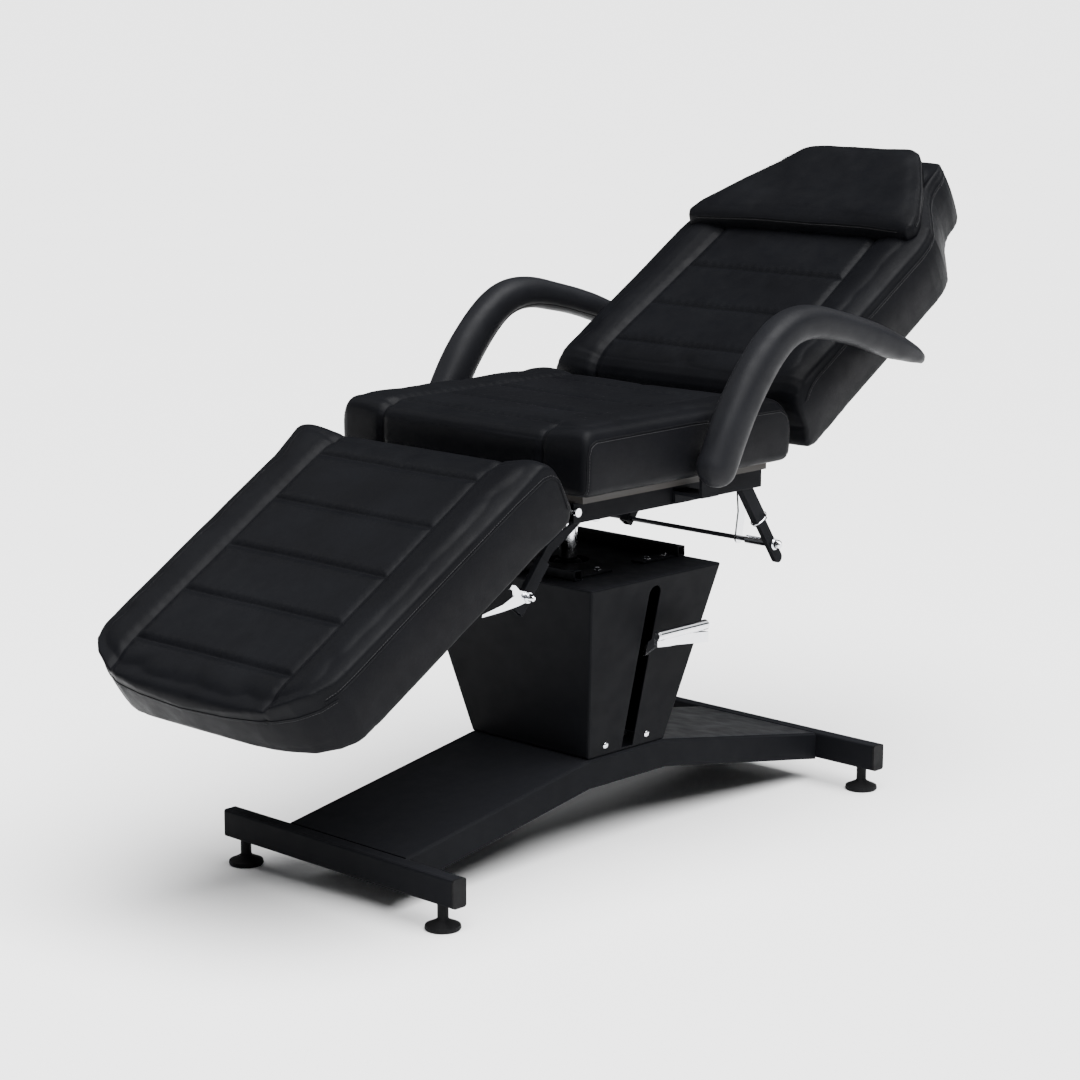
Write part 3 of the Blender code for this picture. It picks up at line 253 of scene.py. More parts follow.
def rod_material():
    """Cross rod: dark along its length, with a polished sleeve and nut at the pedal-side end."""
    material, tree, shader = new_material("rod_dark_and_chrome", (0.02, 0.02, 0.024), 0.3)
    coords = object_coords(tree)
    split = add_node(tree, "ShaderNodeSeparateXYZ")
    tree.links.new(coords, split.inputs["Vector"])
    polished = range_node(tree, split.outputs["X"], 0.0, 1.0, 0.1725, 0.1735)
    mix = mix_node(tree, polished, (0.78, 0.79, 0.82))
    mix.inputs["A"].default_value = (0.012, 0.012, 0.015, 1.0)
    tree.links.new(mix.outputs["Result"], shader.inputs["Base Color"])
    tree.links.new(polished, shader.inputs["Metallic"])
    smudges = noise_node(tree, coords, 55.0, 5.0, 0.6)
    set_roughness(tree, shader, smudges, 0.08, 0.20)
    bump_node(tree, shader, smudges, 0.02, 0.0002)
    shader.inputs["Specular IOR Level"].default_value = 0.15
    return material


def rubber_material():
    """Matt rubber with a little dust."""
    material, tree, shader = new_material("rubber_black", (0.012, 0.012, 0.012), 0.7)
    coords = object_coords(tree)
    dust = noise_node(tree, coords, 60.0, 5.0)
    set_colour(tree, shader, dust, 0.35, 0.75, (0.0022, 0.0022, 0.0026), (0.0042, 0.0042, 0.0047))
    set_roughness(tree, shader, dust, 0.55, 0.8)
    shader.inputs["Specular IOR Level"].default_value = 0.12
    bump_node(tree, shader, noise_node(tree, coords, 420.0, 3.0), 0.25, 0.0003)
    return material


def board_material():
    """Dark stained plywood: stretched grain and open pores."""
    material, tree, shader = new_material("plywood_stained", (0.030, 0.024, 0.019), 0.7)
    mapping = add_node(tree, "ShaderNodeMapping", Scale=(30.0, 2.5, 30.0))
    tree.links.new(object_coords(tree), mapping.inputs["Vector"])
    grain = noise_node(tree, mapping.outputs["Vector"], 3.0, 6.0, 0.65)
    set_colour(tree, shader, grain, 0.3, 0.75, (0.008, 0.007, 0.006), (0.020, 0.016, 0.013))
    set_roughness(tree, shader, grain, 0.6, 0.8)
    bump_node(tree, shader, grain, 0.3, 0.0006)
    return material


def cast_material():
    """Painted casting with a sandy skin."""
    material, tree, shader = new_material("cast_pump_black", (0.03, 0.03, 0.032), 0.5)
    sand = noise_node(tree, object_coords(tree), 260.0, 5.0, 0.6)
    set_colour(tree, shader, sand, 0.3, 0.7, (0.007, 0.007, 0.008), (0.014, 0.014, 0.016))
    set_roughness(tree, shader, sand, 0.42, 0.62)
    bump_node(tree, shader, sand, 0.35, 0.0006)
    return material


def floor_material():
    material, tree, shader = new_material("studio_floor", (0.90, 0.90, 0.90), 0.6)
    clouds = noise_node(tree, object_coords(tree), 1.5, 3.0)
    set_colour(tree, shader, clouds, 0.2, 0.8, (0.895, 0.895, 0.898), (0.91, 0.91, 0.912))
    return material


MATS = {
    "black_vinyl": vinyl_material("vinyl_grained", (0.0021, 0.0022, 0.0029),
                                  (0.0031, 0.0033, 0.0042), 0.05),
    # same black vinyl for the armrests with about twice as light a colour and a little more
    # specular: painted sheen that lightens the armrests
    "armrest_vinyl_painted_sheen": vinyl_material("armrest_vinyl_painted_sheen", (0.0052, 0.0054, 0.0066),
                                   (0.0070, 0.0073, 0.0088), 0.08),
    "thread": thread_material(),
    "black_powder_coat": powder_material(),
    "chrome": chrome_material(),
    "rod": rod_material(),
    "black_rubber": rubber_material(),
    "plywood": board_material(),
    "cast_pump": cast_material(),
}


def dress_cad_nodes():
    """Give every CAD node the detailed material of its slot; the cross rod has its own."""
    slots = {row["node"]: row["material_slot"] for row in frame["record"]["subparts"]}
    slots["cross_rod"] = "rod"
    for name, obj in frame["nodes"].items():
        obj.data.materials.clear()
        obj.data.materials.append(MATS[slots[name]])


# ---------------------------------------------------------------- mesh helpers
def link(name, mesh, body, slot, material=None):
    """New piece from a mesh, riding on a body, with its slot's material or another one."""
    obj = bpy.data.objects.new(name, mesh)
    bpy.context.scene.collection.objects.link(obj)
    mesh.materials.clear()
    mesh.materials.append(MATS[material or slot])
    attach(obj, body)
    return obj


def mesh_from_bmesh(name, bm, smooth=True, sharp=40):
    bmesh.ops.recalc_face_normals(bm, faces=bm.faces)
    mesh = bpy.data.meshes.new(name)
    bm.to_mesh(mesh)
    bm.free()
    if smooth:
        mesh.shade_smooth()
        mesh.set_sharp_from_angle(angle=math.radians(sharp))
    return mesh


def get_points(mesh):
    data = np.empty(len(mesh.vertices) * 3)
    mesh.vertices.foreach_get("co", data)
    return data.reshape(-1, 3)


def get_normals(mesh):
    data = np.empty(len(mesh.vertices) * 3)
    mesh.vertex_normals.foreach_get("vector", data)
    return data.reshape(-1, 3)


def set_points(mesh, points):
    mesh.vertices.foreach_set("co", points.reshape(-1))
    mesh.update()


def apply_modifiers(obj):
    graph = bpy.context.evaluated_depsgraph_get()
    mesh = bpy.data.meshes.new_from_object(obj.evaluated_get(graph))
    obj.modifiers.clear()
    obj.data = mesh


def relax(mesh, rounds, strength=0.5):
    """Laplacian smoothing."""
    edges = np.empty(len(mesh.edges) * 2, dtype=np.int64)
    mesh.edges.foreach_get("vertices", edges)
    edges = edges.reshape(-1, 2)
    points = get_points(mesh)
    count = np.zeros(len(points))
    np.add.at(count, edges[:, 0], 1)
    np.add.at(count, edges[:, 1], 1)
    for _ in range(rounds):
        total = np.zeros_like(points)
        np.add.at(total, edges[:, 0], points[edges[:, 1]])
        np.add.at(total, edges[:, 1], points[edges[:, 0]])
        points += strength * (total / count[:, None] - points)
    set_points(mesh, points)


def circle(radius, segments, turn=0.0):
    """Points round a circle; turn shifts the first one by a share of a segment."""
    angles = [2 * math.pi * (i + turn) / segments for i in range(segments)]
    return [(radius * math.cos(angle), radius * math.sin(angle)) for angle in angles]


def skin(bm, rings, capped=True):
    """Faces between neighbouring rings of vertices, and over both ends."""
    for first, second in zip(rings, rings[1:]):
        for i in range(len(first)):
            j = (i + 1) % len(first)
            bm.faces.new((first[i], first[j], second[j], second[i]))
    if capped:
        bm.faces.new(list(reversed(rings[0])))
        bm.faces.new(rings[-1])


def tube_bmesh(bm, path, radius, sides=8, normals=None, flat=1.0):
    """Add a round tube along a list of points; flat squashes it along the given normals."""
    points = [Vector(p) for p in path]
    rings = []
    last = None
    for i, point in enumerate(points):
        tangent = points[min(i + 1, len(points) - 1)] - points[max(i - 1, 0)]
        tangent.normalize()
        if normals is not None:
            up = Vector(normals[i])
        else:
            up = last if last is not None else tangent.orthogonal()
        across = tangent.cross(up).normalized()
        up = across.cross(tangent).normalized()
        last = up
        rings.append([bm.verts.new(point + (across * a + up * (b * flat)))
                      for a, b in circle(radius, sides)])
    skin(bm, rings)


def resample(path, step):
    """Points every step along a polyline."""
    points = [np.array(p, dtype=float) for p in path]
    lengths = [np.linalg.norm(b - a) for a, b in zip(points, points[1:])]
    total = sum(lengths)
    count = max(2, int(round(total / step)))
    found = []
    reached = 0.0
    index = 0
    for stop in np.linspace(0, total, count + 1):
        while index < len(lengths) - 1 and reached + lengths[index] < stop - 1e-12:
            reached += lengths[index]
            index += 1
        share = (stop - reached) / max(lengths[index], 1e-12)
        found.append(points[index] + (points[index + 1] - points[index]) * min(share, 1.0))
    return found


def catmull(path, steps):
    """Smooth curve through the points."""
    points = [np.array(p, dtype=float) for p in path]
    points = [2 * points[0] - points[1]] + points + [2 * points[-1] - points[-2]]
    found = []
    for a, b, c, d in zip(points, points[1:], points[2:], points[3:]):
        for k in range(steps):
            t = k / steps
            found.append(0.5 * (2 * b + (c - a) * t + (2 * a - 5 * b + 4 * c - d) * t ** 2
                                + (3 * b - a - 3 * c + d) * t ** 3))
    found.append(points[-2])
    return found


def surface_tree(mesh):
    bm = bmesh.new()
    bm.from_mesh(mesh)
    tree = BVHTree.FromBMesh(bm)
    bm.free()
    return tree


# ---------------------------------------------------------------- cushions
def inflate(obj, cap):
    """Swell the shell with cloth pressure, moving no point further than cap."""
    before = get_points(obj.data)
    modifier = obj.modifiers.new("swell", "CLOTH")
    settings = modifier.settings
    settings.quality = 5
    settings.mass = 0.3
    settings.tension_stiffness = 15
    settings.compression_stiffness = 15
    settings.shear_stiffness = 8
    settings.bending_stiffness = 0.8
    settings.use_pressure = True
    settings.uniform_pressure_force = 4.0
    settings.effector_weights.gravity = 0.0
    modifier.point_cache.frame_start = 1
    modifier.point_cache.frame_end = CLOTH_FRAMES
    scene = bpy.context.scene
    for number in range(1, CLOTH_FRAMES + 1):
        scene.frame_set(number)
    graph = bpy.context.evaluated_depsgraph_get()
    swollen = obj.evaluated_get(graph).to_mesh()
    after = get_points(swollen)
    obj.modifiers.clear()
    scene.frame_set(1)
    move = after - before
    length = np.linalg.norm(move, axis=1)
    scale = cap * np.tanh(length / cap) / np.maximum(length, 1e-9)
    set_points(obj.data, before + move * scale[:, None])


def soft_copy(name, node, panel, cap):
    """A finely meshed, swollen copy of a CAD cushion, in its panel's own frame, and its box."""
    mesh = frame["nodes"][node].data.copy()
    mesh.transform(panel.inverted())
    obj = bpy.data.objects.new(name, mesh)
    bpy.context.scene.collection.objects.link(obj)
    points = get_points(mesh)
    low, high = points.min(axis=0), points.max(axis=0)
    centre, half = (low + high) / 2, (high - low) / 2
    set_points(mesh, centre + (points - centre) * ((half - CUSHION_SHRINK) / half))
    remesh = obj.modifiers.new("even", "REMESH")
    remesh.mode = "VOXEL"
    remesh.voxel_size = VOXEL
    apply_modifiers(obj)
    relax(obj.data, SOFTEN_ROUNDS)
    inflate(obj, cap)
    relax(obj.data, 2)
    smooth = obj.modifiers.new("fine", "SUBSURF")
    smooth.levels = 2
    smooth.render_levels = 2
    apply_modifiers(obj)
    fit_to(obj.data, low, high)
    return obj, low, high


def fit_to(mesh, low, high):
    """Stretch the mesh onto the CAD cushion's own length and width, leaving its height."""
    points = get_points(mesh)
    now_low, now_high = points.min(axis=0), points.max(axis=0)
    for axis in (0, 1):
        share = (points[:, axis] - now_low[axis]) / (now_high[axis] - now_low[axis])
        points[:, axis] = low[axis] + share * (high[axis] - low[axis])
    set_points(mesh, points)


def settle_height(mesh, bottom, top, crown):
    """Flat underside on the board, and a crown that stands a little above the CAD's top."""
    points = get_points(mesh)
    middle = (bottom + top) / 2
    above = points[:, 2] > middle
    peak = points[:, 2].max()
    scale = (top + crown - middle) / (peak - middle)
    points[above, 2] = middle + (points[above, 2] - middle) * scale
    low = points[:, 2].min()
    scale = (middle - bottom) / (middle - low)
    points[~above, 2] = middle + (points[~above, 2] - middle) * scale
    flat = points[:, 2] < bottom + 0.006
    points[flat, 2] = bottom
    set_points(mesh, points)


def fill_out(mesh, node, panel, low_share, high_share, middle):
    """Push rounded edges out along their normals towards the CAD cushion's skin.

    The two shares are how much of the way they go, below and above the middle height.
    """
    reach = blend_height = 0.030
    shell = frame["nodes"][node].data.copy()
    shell.transform(panel.inverted())
    tree = surface_tree(shell)
    bpy.data.meshes.remove(shell)
    points, normals = get_points(mesh), get_normals(mesh)
    for i, (point, normal) in enumerate(zip(points, normals)):
        hit, face_normal, _, distance = tree.ray_cast(Vector(point), Vector(normal), reach)
        if hit is None or face_normal.dot(Vector(normal)) < 0:
            continue
        blend = min(max((point[2] - middle) / blend_height + 0.5, 0.0), 1.0)
        share = low_share + (high_share - low_share) * blend
        points[i] = point + normal * (distance * share)
    set_points(mesh, points)
    relax(mesh, 3)


def ripple(points, scale, seed):
    """Smooth repeatable noise at each point."""
    offset = Vector((seed * 7.3, seed * 3.1, seed * 5.7))
    return np.array([noise.noise(Vector(p) * scale + offset) for p in points])


def groove(distance, along, seed):
    """How far a sewn channel pulls the cover down, with puckers beside the seam."""
    valley = CHANNEL_DEPTH * np.exp(-(distance / CHANNEL_WIDTH) ** 2)
    crease = CREASE_DEPTH * np.exp(-(distance / CREASE_WIDTH) ** 2)
    pucker = np.sin(along * 2 * math.pi / PUCKER_PITCH + 2.0 * np.sin(along * 17 + seed))
    beside = PUCKER_HEIGHT * pucker * np.exp(-((distance - 0.008) / 0.007) ** 2)
    return valley + crease + beside


def soft_gate(value, low, high, edge):
    """1 between low and high, easing to 0 over edge outside."""
    rise = np.clip((value - low) / edge + 1, 0, 1)
    fall = np.clip((high - value) / edge + 1, 0, 1)
    return rise * fall


def ramp(value, start, end):
    """0 at start, 1 at end, straight between and held outside."""
    return np.clip((value - start) / (end - start), 0, 1)


def line_at(line, points):
    """How far from the middle a seam or edge line runs, beside each point."""
    return np.array([line(y) for y in points[:, 1]])


def make_cushion(name, node, panel, spec):
    """Cushion with sewn channels, shaped by its spec in the panel's frame.

    crown and lift raise the top's middle and its edges, bulge swells the sides, edge_fill is
    how square the upper edges are, and band is the height of the padded side bands.
    """
    obj, low, high = soft_copy(name, node, panel, spec["cap"])
    mesh = obj.data
    middle = (low[2] + high[2]) / 2
    settle_height(mesh, low[2], high[2], spec["crown"])
    fill_out(mesh, node, panel, 0.85, spec["edge_fill"], middle)
    points = get_points(mesh)
    normals = get_normals(mesh)
    points[:, 2] += spec["lift"] * ramp(points[:, 2], middle, high[2])
    level = ramp(points[:, 2], low[2], high[2])
    points[:, 0] += normals[:, 0] * spec["bulge"] * np.sin(np.pi * level ** 1.3)
    top = np.clip(normals[:, 2] * 2.2, 0, 1)
    front = np.clip(-normals[:, 1] * 2.0, 0, 1) if spec["wraps_front"] else 0 * top
    face = np.maximum(top, front)
    seam = line_at(spec["seam_x"], points)
    push = np.zeros(len(points))
    gate = soft_gate(points[:, 1], *spec["long_range"], 0.012)
    for sign in (-1, 1):
        distance = np.abs(points[:, 0] - sign * seam)
        channel = groove(distance, points[:, 1] - points[:, 2], sign)
        push = np.maximum(push, face * gate * channel)
    for y in spec["cross_seams"]:
        distance = np.abs(points[:, 1] - y)
        limit = spec["seam_x"](y)
        gate = soft_gate(points[:, 0], -limit, limit, 0.006)
        push = np.maximum(push, top * gate * groove(distance, points[:, 0], y))
    seed = spec["seed"]
    wave = ripple(points, 6.0, seed) * 0.0016 + ripple(points, 19.0, seed) * 0.0006
    inside = soft_gate(np.abs(points[:, 0]), -1, spec["seam_x"](0) - 0.01, 0.03)
    points -= normals * (push - wave * top)[:, None]
    points[:, 2] -= PANEL_DROP * inside * top
    across = ramp(np.abs(points[:, 0]), line_at(spec["seam_x"], points),
                  line_at(spec["edge_x"], points))
    points[:, 2] += spec["band"] * np.sin(np.pi * across ** 1.6) * top
    if spec["shape"]:
        spec["shape"](points)
    finish_soft(obj, points, panel)
    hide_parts(node)
    return obj


def finish_soft(obj, points, panel):
    """Put the shaped points in the mesh, move it to its place and cover it in vinyl."""
    mesh = obj.data
    set_points(mesh, points)
    mesh.shade_smooth()
    mesh.transform(panel)
    mesh.materials.clear()
    mesh.materials.append(MATS["black_vinyl"])


def touch(tree, panel, start, aim, reach=0.12):
    """Where a ray in the panel's frame meets the cushion, with the normal; a list of 0 or 1."""
    hit, normal, _, _ = tree.ray_cast(panel @ Vector(start), panel.to_3x3() @ Vector(aim), reach)
    return [] if hit is None else [(hit, normal)]


def side_run(tree, panel, path, sign):
    """Points and normals along a path of (y, z) on one side of a cushion."""
    run = []
    for x, y, z in resample([(sign * 0.365, y, z) for y, z in path], SEAM_STEP):
        run += touch(tree, panel, (x, y, z), (-sign, 0, 0), 0.10)
    return run


def welt(name, body, runs, radius=0.0013):
    """Narrow sewn ridge along the given runs of surface points."""
    bm = bmesh.new()
    for run in runs:
        path = [hit + normal * (radius * 0.25) for hit, normal in run]
        tube_bmesh(bm, path, radius, sides=7, normals=[n for _, n in run], flat=0.8)
    link(name, mesh_from_bmesh(name, bm, sharp=80), body, "black_vinyl")


def stitches(name, body, runs, offset=STITCH_OFFSET):
    """Short stitches of thread beside a seam."""
    bm = bmesh.new()
    for run in runs:
        path = resample([tuple(hit) for hit, _ in run], STITCH_PITCH)
        normals = [run[min(len(run) - 1, int(i * len(run) / len(path)))][1]
                   for i in range(len(path))]
        for i in range(1, len(path) - 1):
            tangent = Vector(path[i + 1] - path[i - 1]).normalized()
            side = tangent.cross(normals[i]).normalized() * offset
            centre = Vector(path[i]) + side
            lift = normals[i] * 0.0003
            ends = [centre - tangent * STITCH_LENGTH / 2 - lift, centre + lift,
                    centre + tangent * STITCH_LENGTH / 2 - lift]
            tube_bmesh(bm, ends, STITCH_RADIUS, sides=5)
    link(name, mesh_from_bmesh(name, bm, sharp=80), body, "black_vinyl", "thread")


def back_half_width(y):
    """Half width of the back rest's outline at a distance from the hinge."""
    return float(np.interp(y, *zip(*BACK_OUTLINE)))


def straight_seam_x(y):
    return LONG_SEAM_X


def back_seam_x(y):
    """The back rest's long seams draw in a little towards the head."""
    return 0.205 - 0.020 * ramp(y, 0.05, 0.47)


def shape_leg(points):
    """Well rounded foot corners, the far one more than the near one, and full hinge corners."""
    side = np.sign(points[:, 0])
    reach = np.abs(points[:, 0])
    along = ramp(points[:, 1], -0.50, -0.695)
    depth = ramp(points[:, 2], 0.146, 0.036)
    points[:, 2] += 0.002 * along ** 1.5 * depth
    corner = ramp(reach, 0.17, 0.30) * ramp(points[:, 1], -0.59, -0.695)
    pull = np.where(side < 0, 0.018, 0.010)
    points[:, 0] -= side * pull * corner
    points[:, 1] += (pull + 0.001) * corner + 0.004 * along ** 4 * depth
    hinge_corner = ramp(np.abs(points[:, 0]), 0.22, 0.29) * ramp(points[:, 1], -0.14, -0.07)
    points[:, 0] += side * 0.003 * hinge_corner
    points[:, 2] += 0.006 * hinge_corner * ramp(points[:, 2], 0.08, 0.13)


def shape_back(points):
    """Lower end full and square outside the hinges, and softer head corners."""
    centre = np.array([0.0675, 0.0375])
    near = points[:, 1] < centre[0]
    offset = points[:, 1:] - centre
    angle = np.arctan2(offset[:, 1], -offset[:, 0])
    square = (np.abs(np.cos(angle)) ** 5 + np.abs(np.sin(angle)) ** 5) ** -0.2
    share = ramp(np.abs(points[:, 0]), 0.198, 0.218)
    share = share * share * (3 - 2 * share) * near
    lower = ramp(offset[:, 1], 0.030, -0.030)
    scale = 1 + (square - 1) * share * (0.35 + 0.65 * lower)
    points[:, 1:] = np.where(near[:, None], centre + offset * scale[:, None], points[:, 1:])
    head_corner = ramp(points[:, 1], 0.50, 0.66) * ramp(np.abs(points[:, 0]), 0.10, 0.22)
    points[:, 0] -= np.sign(points[:, 0]) * 0.008 * head_corner
    points[:, 1] -= 0.005 * head_corner
    toe = ramp(points[:, 1], 0.060, 0.010) * share
    points[:, 1] -= 0.016 * toe * ramp(points[:, 2], 0.030, -0.015)


SEAT_SPEC = {
    "cap": 0.012, "crown": 0.008, "edge_fill": 0.88, "lift": 0.008, "bulge": 0.003,
    "band": 0.005, "edge_x": lambda y: 0.300, "seam_x": straight_seam_x, "wraps_front": True,
    "long_range": (-0.30, 0.262), "cross_seams": (-0.225, -0.118, 0.012, 0.152),
    "seed": 1.0, "shape": None,
}
LEG_SPEC = {
    "cap": 0.012, "crown": 0.008, "edge_fill": 0.92, "lift": 0.010, "bulge": 0.003,
    "band": 0.008, "edge_x": lambda y: 0.297, "seam_x": straight_seam_x, "wraps_front": False,
    "long_range": (-0.70, -0.040), "cross_seams": (-0.1185, -0.240, -0.363, -0.4795, -0.602),
    "seed": 2.0, "shape": shape_leg,
}
BACK_SPEC = {
    "cap": 0.014, "crown": 0.006, "edge_fill": 0.90, "lift": 0.011, "bulge": 0.006,
    "band": 0.008, "edge_x": back_half_width, "seam_x": back_seam_x, "wraps_front": False,
    "long_range": (0.00, 0.560), "cross_seams": (0.105, 0.222, 0.345),
    "seed": 3.0, "shape": shape_back,
}


def make_seat_cushion():
    seat = make_cushion("seat_cushion_soft", "seat_cushion", SEAT_FRAME, SEAT_SPEC)
    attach(seat, "seat")
    tree = surface_tree(seat.data)
    path = [(-0.271, 0.694), (-0.271, 0.760), (-0.266, 0.776), (-0.252, 0.784), (0.0, 0.786),
            (0.236, 0.783), (0.256, 0.770), (0.262, 0.750), (0.262, 0.700)]
    runs = [side_run(tree, SEAT_FRAME, path, sign) for sign in (-1, 1)]
    welt("seat_side_seams", "seat", runs)
    stitches("seat_side_stitches", "seat", runs)


def make_leg_cushion():
    leg = make_cushion("leg_cushion_soft", "leg_cushion", LEG_FRAME, LEG_SPEC)
    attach(leg, "legrest")
    tree = surface_tree(leg.data)
    path = [(-0.056, 0.064), (-0.050, 0.120), (-0.060, 0.134), (-0.075, 0.139), (-0.40, 0.139),
            (-0.620, 0.137)]
    runs = [side_run(tree, LEG_FRAME, path, sign) for sign in (-1, 1)]
    near_half = [(0.10, -0.694), (0.200, -0.686), (0.250, -0.672), (0.277, -0.645), (0.286, -0.60)]
    far_half = [(-x, y) for x, y in reversed(near_half)]
    seam_z = 0.130
    around_foot = []
    for x, y in resample(far_half + [(0.0, -0.697)] + near_half, SEAM_STEP):
        place = Vector((x, y, seam_z))
        aim = (Vector((x * 0.6, -0.50, seam_z)) - place).normalized()
        around_foot += touch(tree, LEG_FRAME, place - aim * 0.05, aim)
    runs.append(around_foot)
    welt("leg_side_seams", "legrest", runs)
    stitches("leg_side_stitches", "legrest", runs)


def make_back_cushion():
    back = make_cushion("back_cushion_soft", "back_cushion", BACK_FRAME, BACK_SPEC)
    tree = surface_tree(back.data)
    runs = []
    for sign in (-1, 1):
        run = []
        for y in np.arange(0.034, 0.728, SEAM_STEP):
            z = 0.0880 - 0.018 * (max(0.09 - y, 0.0) / 0.06) ** 2
            run += touch(tree, BACK_FRAME, (sign * (back_half_width(y) + 0.04), y, z), (-sign, 0, 0))
        runs.append(run)
    welt("back_side_seams", "backrest", runs)
    stitches("back_side_stitches", "backrest", runs)
    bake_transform(back)


def make_pillow():
    """Head pillow: full front edge, and a slightly hollow top."""
    obj, low, high = soft_copy("head_pillow_soft", "head_pillow", BACK_FRAME, 0.010)
    mesh = obj.data
    settle_height(mesh, low[2], high[2], 0.003)
    fill_out(mesh, "head_pillow", BACK_FRAME, 0.5, 0.4, (low[2] + high[2]) / 2)
    points = get_points(mesh)
    normals = get_normals(mesh)
    top = np.clip(normals[:, 2] * 2.0, 0, 1)
    along = ramp(points[:, 1], 0.50, 0.72)
    hollow = np.sin(np.pi * along) * np.clip(1 - (points[:, 0] / 0.22) ** 2, 0, 1)
    points[:, 2] -= top * 0.008 * hollow
    wave = ripple(points, 9.0, 4.0) * 0.0022 + ripple(points, 24.0, 4.0) * 0.0009
    points += normals * wave[:, None]
    points[:, 0] -= np.sign(points[:, 0]) * 0.008 * along * ramp(np.abs(points[:, 0]), 0.0, 0.12)
    finish_soft(obj, points, BACK_FRAME)
    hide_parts("head_pillow")
    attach(obj, "pillow")
    tree = surface_tree(obj.data)
    front = []
    for x in np.arange(-0.252, 0.2521, SEAM_STEP):
        front += touch(tree, BACK_FRAME, (x, 0.430, low[2] + 0.038), (0, 1, 0))
    runs = [front]
    for sign in (-1, 1):
        side = []
        for y in np.arange(0.490, 0.722, SEAM_STEP):
            side += touch(tree, BACK_FRAME, (sign * 0.33, y, low[2] + 0.034), (-sign, 0, 0), 0.30)
        runs.append(side)
    welt("pillow_seams", "pillow", runs, radius=0.0012)
    stitches("pillow_stitches", "pillow", runs, offset=0.004)


# ---------------------------------------------------------------- armrests
def armrest_rows():
    """Sections along the pad: centre (y, z), direction, scale, half depth and half width."""
    path = resample(catmull(ARMREST_PATH, 8), 0.008)
    stations = np.linspace(0, 1, len(path))
    depths = np.interp(stations, np.linspace(0, 1, len(ARMREST_DEPTH)), ARMREST_DEPTH)
    first = path[0]
    run = (path[1] - first) / np.linalg.norm(path[1] - first)
    rows = []
    for k in range(9, 0, -1):
        angle = math.pi / 2 * k / 9.4
        rows.append((first - run * 0.033 * math.sin(angle), run, math.cos(angle),
                     ARMREST_DEPTH[0], ARMREST_HALF_X))
    for i, point in enumerate(path):
        a, b = path[max(i - 1, 0)], path[min(i + 1, len(path) - 1)]
        run = (b - a) / np.linalg.norm(b - a)
        to_tip = 1 - stations[i]
        narrowing = min(to_tip / 0.16, 1.0)
        width = ARMREST_HALF_X * (0.30 + 0.70 * math.sqrt(1 - (1 - narrowing) ** 2))
        depth = depths[i] * (0.72 + 0.28 * min(to_tip / 0.16 / 0.25, 1.0))
        rows.append((point, run, 1.0, depth, width))
    tip, run, _, depth, width = rows[-1]
    for k in range(1, 6):
        angle = math.pi / 2 * k / 5.4
        rows.append((tip + run * 0.010 * math.sin(angle), run, math.cos(angle), depth, width))
    return rows


def make_armrest(side, sign, body):
    """Padded boomerang bar with a seam along its underside, on the side that faces the seat."""
    seam_degrees = 222 if sign > 0 else 318
    seam_key = round(ARMREST_SIDES * seam_degrees / 360)
    bm = bmesh.new()
    loops = []
    for number, (centre, run, scale, depth, width) in enumerate(armrest_rows()):
        across = np.array([-run[1], run[0]])
        ring = []
        for k in range(ARMREST_SIDES):
            angle = 2 * math.pi * k / ARMREST_SIDES
            c, s = math.cos(angle), math.sin(angle)
            x = width * scale * math.copysign(abs(c) ** 0.82, c)
            lift = depth * scale * math.copysign(abs(s) ** 0.86, s)
            seam = 0.0016 * math.exp(-((angle - math.radians(seam_degrees)) / 0.09) ** 2)
            wobble = 0.0007 * math.sin(number * 0.31 + 3 * angle) * scale
            y, z = centre + across * lift * (1 - seam / max(depth, 0.01)) + across * wobble * s
            ring.append(bm.verts.new((sign * ARMREST_X + x * (1 - seam / width), y, z)))
        loops.append(ring)
    skin(bm, loops)
    seam_points = [Vector(loop[seam_key].co) for loop in loops[6:-4]]
    mesh = mesh_from_bmesh(f"armrest_soft_{side}", bm, sharp=70)
    obj = link(f"armrest_soft_{side}", mesh, body, "black_vinyl", "armrest_vinyl_painted_sheen")
    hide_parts(f"armrest_{side}")
    tree = surface_tree(mesh)
    run = [tree.find_nearest(point)[:2] for point in seam_points]
    welt(f"armrest_seam_{side}", body, [run], radius=0.0011)


# ---------------------------------------------------------------- small hardware
def hex_bolt(name, body, centre, up, size, height=0.0045):
    """Hexagon head on a washer; up is 1 or -1, the way the head points along z."""
    washer = (size * 1.35, 0.0, 0.0012, 28)
    head = (size, 0.0012, height, 6)
    chamfer = 0.0006
    bm = bmesh.new()
    for radius, low, high, sides in (washer, head):
        profile = [(radius, low), (radius, high - chamfer), (radius - chamfer, high)]
        skin(bm, [[bm.verts.new((centre[0] + a, centre[1] + b, centre[2] + up * z))
                   for a, b in circle(r, sides, 0.5)] for r, z in profile])
    link(name, mesh_from_bmesh(name, bm, smooth=False), body, "chrome")


def cover_screws():
    """Pan screws with a small recess on the pedal-side face of the cover, square to its slope."""
    low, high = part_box("pedestal_cover")
    z = 0.193
    share = (z - low[2]) / (high[2] - low[2])
    x = COVER_HALF_BOTTOM + share * (COVER_HALF_TOP - COVER_HALF_BOTTOM)
    lean = math.atan2(COVER_HALF_TOP - COVER_HALF_BOTTOM, high[2] - low[2])
    profile = [(0.0058, 0.0), (0.0060, 0.0010), (0.0050, 0.0024), (0.0030, 0.0032),
               (0.0012, 0.0034), (0.0009, 0.0022)]
    for number, y in enumerate((-0.061, 0.049)):
        bm = bmesh.new()
        skin(bm, [[bm.verts.new((along, a, b)) for a, b in circle(radius, 24)]
                  for radius, along in profile])
        mesh = mesh_from_bmesh(f"cover_screw_{number}", bm)
        mesh.transform(Matrix.Translation((x, y, z)) @ Matrix.Rotation(lean, 4, "Y"))
        link(f"cover_screw_{number}", mesh, "base", "chrome")


